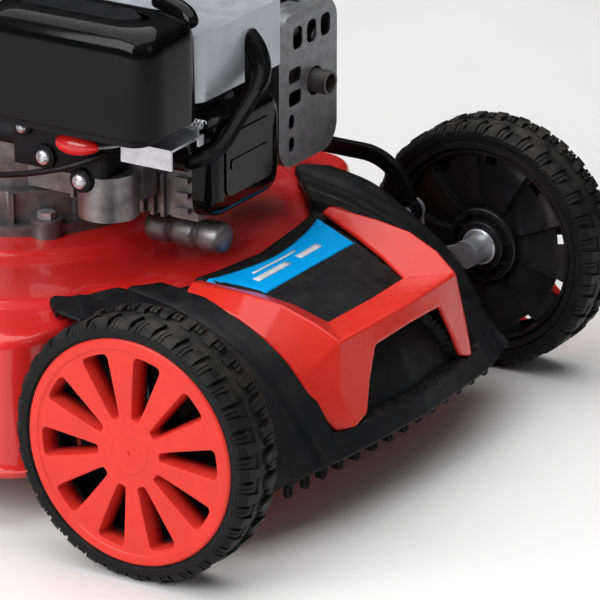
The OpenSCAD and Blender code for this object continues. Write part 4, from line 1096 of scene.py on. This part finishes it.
class MOWER_OT_air_cleaner(bpy.types.Operator):
    """Glossy air cleaner cover with its matte sunken top and its latch"""
    bl_idname = "mower.air_cleaner"
    bl_label = "Air Cleaner"

    def execute(self, context):
        low, high = room("air_cleaner_cover")
        build = Build()
        rings = []
        for z, grow in ((low.z, -1.5), (low.z + 1, 0), (low.z + 30, 0), (high.z - 20, -0.6),
                        (high.z - 13, -1.4), (high.z - 8, -3.4), (high.z - 4.5, -6.4),
                        (high.z - 2, -10.5), (high.z - 0.6, -16), (high.z, -24)):
            rings.append([(x, y, z) for x, y in box_outline(
                low.x - grow, high.x + grow, low.y - grow, high.y + grow, 24, 10)])
        build.loft(rings)
        build.done("air_cleaner_shell", gloss_black(), "air_cover", bevel=0.3,
                   angle=50, replaces=("air_cleaner_cover",))
        build = Build()
        x0, x1, y0, y1 = low.x + 25, high.x - 25, low.y + 25, high.y - 25
        rim = rounded([(x0, y1), (x0, y0 + 12), (x0 + 20, y0), (x1 - 20, y0), (x1, y0 + 12),
                       (x1, y1)], [8, 10, 14, 14, 10, 8], 8)
        build.loft([[(x, y, z) for x, y in rim] for z in (high.z - 1, high.z + 0.5)])
        build.done("air_cleaner_inset", panel_black(), "air_cover", bevel=0.4)
        build = Build()
        tab = smooth_line([(-86, 96, high.z - 1), (-89, 80, high.z - 1), (-94, 64, high.z - 4),
                           (-98, 56, high.z - 10)], 5)
        build.tube(tab, [3 + 4.2 * sin(pi * (k + 1) / (len(tab) + 1)) ** 0.5
                         for k in range(len(tab))], 16)
        build.done("air_cleaner_latch", gloss_black(), "air_cover", bevel=1.2,
                   segments=3)
        return {"FINISHED"}


class MOWER_OT_rocker_cover(bpy.types.Operator):
    """Glossy moulded cover over the cylinder head with a raised plain panel"""
    bl_idname = "mower.rocker_cover"
    bl_label = "Rocker Cover"

    def execute(self, context):
        low, high = room("rocker_cover")
        build = Build()
        middle_x, middle_z = (low.x + high.x) / 2, (low.z + high.z) / 2
        half_x, half_z = (high.x - low.x) / 2, (high.z - low.z) / 2
        rings = []
        for y, cut in ((high.y, 0), (low.y + 10, 0.5), (low.y + 5, 1.6), (low.y + 2.2, 3.4),
                       (low.y + 0.6, 6), (low.y, 9)):
            rings.append([(middle_x + a, y, middle_z + b) for a, b in box_outline(
                -half_x + cut, half_x - cut, -half_z + cut, half_z - cut, 17, 8)])
        build.loft(rings)
        build.done("rocker_shell", gloss_black(), "deck", bevel=0.3, angle=50,
                   replaces=("rocker_cover",))
        build = Build()
        build.plate([(middle_x + a, middle_z + b) for a, b in box_outline(
            -half_x + 16, half_x - 16, -half_z + 16, half_z - 16, 8, 6)],
            low.y - 1.4, low.y + 1, "y")
        build.plate([(middle_x + a, middle_z + b) for a, b in box_outline(
            -half_x + 22, half_x - 22, -4, 4, 3, 6)], low.y - 2.4, low.y, "y")
        build.done("rocker_panel", gloss_black(), "deck", bevel=0.8, segments=3)
        return {"FINISHED"}


class MOWER_OT_exhaust_guard(bpy.types.Operator):
    """Pressed guard with a rim band, slots and its outlet"""
    bl_idname = "mower.exhaust_guard"
    bl_label = "Exhaust Guard"

    def execute(self, context):
        low, high = room("muffler_guard")
        x0, x1, z0, z1 = 49, high.x, low.z, high.z
        face = low.y + 12
        outline = rounded([(x0, z0), (x1, z0), (x1, z1 - 26), (x1 - 16, z1 - 4), (x0 + 22, z1),
                           (x0, z1 - 14)], [5, 10, 20, 24, 26, 14], 7)
        holes = []
        column = ((z0 + 22, 3.4, 8), (z0 + 42, 3.4, 8), (z0 + 66, 4.6, 11), (z0 + 94, 4.6, 11))
        for z, half, length in column:
            holes.append(rounded([(x0 + 8, z - half), (x0 + 8 + 2 * length, z - half),
                                  (x0 + 8 + 2 * length, z + half), (x0 + 8, z + half)],
                                 half * 0.98, 6))
        for z in (z0 + 74, z0 + 88):
            holes.append(rounded([(x1 - 19, z - 3), (x1 - 8, z - 3), (x1 - 8, z + 3),
                                  (x1 - 19, z + 3)], 2.9, 6))
        for x in (x0 + 36, x0 + 50):
            holes.append(rounded([(x, z0 + 96), (x + 8, z0 + 96), (x + 8, z1 - 12),
                                  (x, z1 - 12)], 3.9, 6))
        holes.append(round_hole(84, 262, 13))
        build = Build()
        build.plate(outline, face, face + 1.4, "y", holes)
        middle = Vector(((x0 + x1) / 2, (z0 + z1) / 2))
        band = []
        for depth, pull in ((-1.8, 3.4), (-2.6, 1.4), (-1.6, 0), (3, 0), (12, 0), (12, 1.4),
                            (2, 1.4), (-1, 3.4)):
            band.append([(x + (middle.x - x) * pull / 50, face + depth,
                          z + (middle.y - z) * pull / 70) for x, z in outline])
        build.loft(band, loop=True)
        build.done("guard_plate", guard_steel(), "deck", bevel=0.35)
        build = Build()
        build.hex_bolt((116, face, z0 + 88), "-y", 5, 5.5)
        build.hex_bolt((x0 + 14, face, z0 + 8), "-y", 4.4, 4.5)
        build.done("guard_bolts", zinc_steel(), "deck", bevel=0.3)
        return {"FINISHED"}


class MOWER_OT_front_controls(bpy.types.Operator):
    """Screws, bowl trim, knob and spring around the carburettor"""
    bl_idname = "mower.front_controls"
    bl_label = "Front Controls"

    def execute(self, context):
        build = Build()
        for y, z, size in ((169, 249, 6), (137, 236, 6), (188, 269, 4.4)):
            build.turned([(0, 0.1), (0, size), (-1, size), (-2.4, size * 0.86), (-3.4, size * 0.5),
                          (-2.2, size * 0.34), (-2.2, 0.1)], (-127.5, y, z), "x", 24, loop=False)
        build.done("intake_screws", zinc_steel(), "deck", bevel=0.2)
        build = Build()
        for y, z, size in ((169, 249, 9.5), (137, 236, 9.5), (188, 269, 7)):
            build.turned([(4, size + 1.5), (-1, size), (-3.2, size - 0.4), (-3.6, size - 1.2),
                          (-3.6, 1)], (-124, y, z), "x", 32, loop=False)
        build.done("intake_bosses", black_moulding(), "deck", bevel=0.3)
        build = Build()
        knob = [(-139.5, 147 - 3.2 * k, 269 + 0.06 * k) for k in range(12)]
        build.tube(knob, [8.4 * sin(pi * min(1, (k + 0.6) / 12) ** 0.75) ** 0.6
                          for k in range(12)], 20)
        build.done("throttle_knob", lever_red(), "throttle", bevel=0,
                   replaces=("throttle_lever",))
        build = Build()
        build.tube(smooth_line([(-139.5, 114, 269.6), (-130, 104, 270), (-118, 97, 272),
                                (-112, 94, 273.4)], 5), 1.3, 10)
        build.turned([(266, 0.1), (266, 2.3), (277, 2.3), (278, 1.6), (278, 0.1)],
                     (-112, 94, 0), "z", 24, loop=False)
        build.turned([(272.5, 2), (272.5, 6.6), (273.3, 7), (274.2, 6.6), (274.2, 2)],
                     (-112, 94, 0), "z", 32)
        build.done("throttle_wire", zinc_steel(), "throttle", bevel=0.15)
        build = Build()
        boot = smooth_line([(-6, 68, 327), (-6, 60, 318), (-8, 54, 306), (-16, 50, 297),
                            (-27, 48, 291)], 6)
        build.tube(boot, [8.6 - 3 * (k / (len(boot) - 1)) ** 2 for k in range(len(boot))], 20)
        build.done("lead_boot", lead_rubber(), "deck", bevel=0)
        build = Build()
        profile = [(60, 2)]
        for y in (61, 84, 107):
            profile += [(y, 9.4), (y + 1.6, 11.2), (y + 4, 12), (y + 17, 12), (y + 19.4, 11.4),
                        (y + 20.4, 10.6)]
        profile.append((129, 2))
        build.turned(profile, (-46, 0, 180), "y", 48, loop=False)
        build.done("breather_casting", dark_alloy(), "deck", bevel=0.4)
        build = Build()
        spring = [(-90 + 3.2 * cos(a), 52 + a * 0.5, 284 + 3.2 * sin(a))
                  for a in [k * pi / 6 for k in range(100)]]
        build.tube(spring, 0.65, 6)
        build.done("governor_spring", zinc_steel(), "deck", bevel=0)
        return {"FINISHED"}


class MOWER_OT_link_bar(bpy.types.Operator):
    """Arched bar that links the front and rear height cranks"""
    bl_idname = "mower.link_bar"
    bl_label = "Link Bar"

    def execute(self, context):
        low, high = room("height_link")
        bend, half = 42, 6
        start, end = low.y + 10, high.y - 10
        pin = low.z + 10
        middle = (low.x + high.x) / 2

        def arc(radius):
            return [(start + bend + radius * cos(pi * (1 - k / 36)),
                     pin + radius * sin(pi * (1 - k / 36))) for k in range(19)]

        upper, lower = arc(bend + half), arc(bend - half)
        mirrored_upper = [(start + end - y, z) for y, z in reversed(upper)]
        mirrored_lower = [(start + end - y, z) for y, z in reversed(lower)]
        outline = upper + mirrored_upper + mirrored_lower[::-1] + lower[::-1]
        build = Build()
        build.plate(outline, middle - 3.4, middle + 3.4, "x")
        for y in (start, end):
            build.turned([(-3.6, 7.2), (-3.6, 10), (3.6, 10), (3.6, 7.2)], (middle, y, pin), "x", 36)
        build.done("link_bar", black_steel(), "height_link", bevel=1.4, segments=3,
                   replaces=("height_link",))
        return {"FINISHED"}


# ---------- wheels on their axles ----------

class MOWER_OT_wheels(bpy.types.Operator):
    """Four wheels: treaded tyres, spoked caps, rims and bright washers"""
    bl_idname = "mower.wheels"
    bl_label = "Wheels"

    def execute(self, context):
        for name, side, back in CORNERS:
            tyre(name, side, back)
            cap(name, side, back)
            rim(name, side, back)
            washer(name, side, back)
        return {"FINISHED"}


# ---------- finishes on the frame ----------

class MOWER_OT_frame_finishes(bpy.types.Operator):
    """Gives every shown part of the frame its procedural finish"""
    bl_idname = "mower.frame_finishes"
    bl_label = "Frame Finishes"

    def execute(self, context):
        finishes = {
            "deck_paint": deck_paint, "black_moulding": black_moulding,
            "gloss_black": gloss_black, "trim_red": trim_red, "wheel_red": wheel_red,
            "wheel_black": wheel_black, "tyre": tyre_rubber, "cast_aluminium": cast_aluminium,
            "zinc_steel": zinc_steel, "black_steel": black_steel, "silver_paint": silver_paint,
            "guard_steel": guard_steel, "dull_steel": dull_steel, "lead_rubber": lead_rubber,
            "filter_paper": filter_paper, "ceramic": ceramic,
            "dipstick_yellow": dipstick_yellow, "grip_foam": grip_foam}
        slots = {part["node"]: part["material_slot"] for part in frame["record"]["subparts"]}
        for node, part in frame["nodes"].items():
            part.data.materials.clear()
            dark = node in ("engine_sump", "engine_block", "cylinder_head")
            part.data.materials.append(dark_alloy() if dark else finishes[slots[node]]())
        return {"FINISHED"}


# ---------- stage ----------

class MOWER_OT_stage(bpy.types.Operator):
    """Camera, overhead and side lights, dim room and the white floor"""
    bl_idname = "mower.stage"
    bl_label = "Stage"

    def execute(self, context):
        scene = context.scene
        settings = scene.mower_studio
        data = bpy.data.cameras.new("camera")
        data.lens = settings.lens
        data.sensor_width = 36
        data.clip_end = 60
        camera = bpy.data.objects.new("camera", data)
        scene.collection.objects.link(camera)
        camera.location = (-3.1739, AXLE_Y - 1.9364, 1.5420)
        back, right = Vector((-0.7952, -0.4915, 0.3554)), Vector((0.5257, -0.8507, 0))
        up = back.cross(right)
        camera.rotation_euler = Matrix((right, up, back)).transposed().to_euler()
        scene.camera = camera
        build = Build()
        build.grid([[(x, y, 0) for y in (-9000, 9000)] for x in (-9000, 9000)])
        floor = self.floor(build)
        lights = [self.area("top", (0.1, AXLE_Y + 0.35, 2.6), (0.0, AXLE_Y + 0.1, 0.0), 3.6,
                            settings.top_light),
                  self.area("side", (-2.9, AXLE_Y + 0.9, 1.9), (-0.1, AXLE_Y + 0.25, 0.1), 2.2,
                            settings.side_light),
                  self.area("front", (-0.7, AXLE_Y - 3.2, 2.0), (0, AXLE_Y, 0.2), 1.4,
                            settings.side_light * 0.06)]
        world = bpy.data.worlds.new("room")
        scene.world = world
        world.use_nodes = True
        sky = world.node_tree.nodes["Background"]
        sky.inputs["Color"].default_value = (1, 1, 1, 1)
        tree = world.node_tree
        coords = tree.nodes.new("ShaderNodeTexCoord").outputs["Generated"]
        split = tree.nodes.new("ShaderNodeSeparateXYZ")
        tree.links.new(coords, split.inputs[0])
        glow = spread(tree.nodes, tree.links, split.outputs["Z"], settings.sky * 0.12,
                      settings.sky * 1.8, 0.35, 0.9)
        tree.links.new(glow, sky.inputs["Strength"])
        scene.view_settings.view_transform = "Standard"
        return {"FINISHED"}

    def floor(self, build):
        data = bpy.data.meshes.new("floor")
        for vert in build.mesh.verts:
            vert.co = at(*vert.co)
        bmesh.ops.recalc_face_normals(build.mesh, faces=build.mesh.faces)
        build.mesh.to_mesh(data)
        build.mesh.free()
        data.materials.append(studio_floor())
        piece = bpy.data.objects.new("floor", data)
        bpy.context.scene.collection.objects.link(piece)
        return piece

    def area(self, name, place, target, size, power):
        data = bpy.data.lights.new(name, "AREA")
        data.shape = "SQUARE"
        data.size = size
        data.energy = power
        light = bpy.data.objects.new(name, data)
        bpy.context.scene.collection.objects.link(light)
        light.location = place
        away = Vector(place) - Vector(target)
        light.rotation_euler = away.to_track_quat("Z", "Y").to_euler()
        return light


# ---------- add-on ----------

OPERATORS = (
    MOWER_OT_frame_finishes, MOWER_OT_wheels, MOWER_OT_nose_cover, MOWER_OT_nose_trim,
    MOWER_OT_nose_comb, MOWER_OT_deck_shell, MOWER_OT_air_cleaner, MOWER_OT_rocker_cover,
    MOWER_OT_exhaust_guard, MOWER_OT_front_controls, MOWER_OT_link_bar, MOWER_OT_stage)


class MOWER_PT_build(bpy.types.Panel):
    """Settings and steps of the mower"""
    bl_idname = "MOWER_PT_build"
    bl_label = "Push Lawn Mower"
    bl_space_type = "VIEW_3D"
    bl_region_type = "UI"
    bl_category = "Mower"

    def draw(self, context):
        scene = context.scene
        for settings in (scene.mower_paint, scene.mower_wheels, scene.mower_studio):
            box = self.layout.box()
            for name in settings.bl_rna.properties.keys():
                if name not in ("rna_type", "name"):
                    box.prop(settings, name)
        for operator in OPERATORS:
            self.layout.operator(operator.bl_idname)


CLASSES = (MowerPaint, MowerWheels, MowerStudio, *OPERATORS, MOWER_PT_build)


def register():
    for item in CLASSES:
        bpy.utils.register_class(item)
    bpy.types.Scene.mower_paint = bpy.props.PointerProperty(type=MowerPaint)
    bpy.types.Scene.mower_wheels = bpy.props.PointerProperty(type=MowerWheels)
    bpy.types.Scene.mower_studio = bpy.props.PointerProperty(type=MowerStudio)


def unregister():
    del bpy.types.Scene.mower_studio
    del bpy.types.Scene.mower_wheels
    del bpy.types.Scene.mower_paint
    for item in reversed(CLASSES):
        bpy.utils.unregister_class(item)


def main():
    register()
    for operator in OPERATORS:
        group, name = operator.bl_idname.split(".")
        getattr(getattr(bpy.ops, group), name)()


if __name__ == "__main__":
    main()
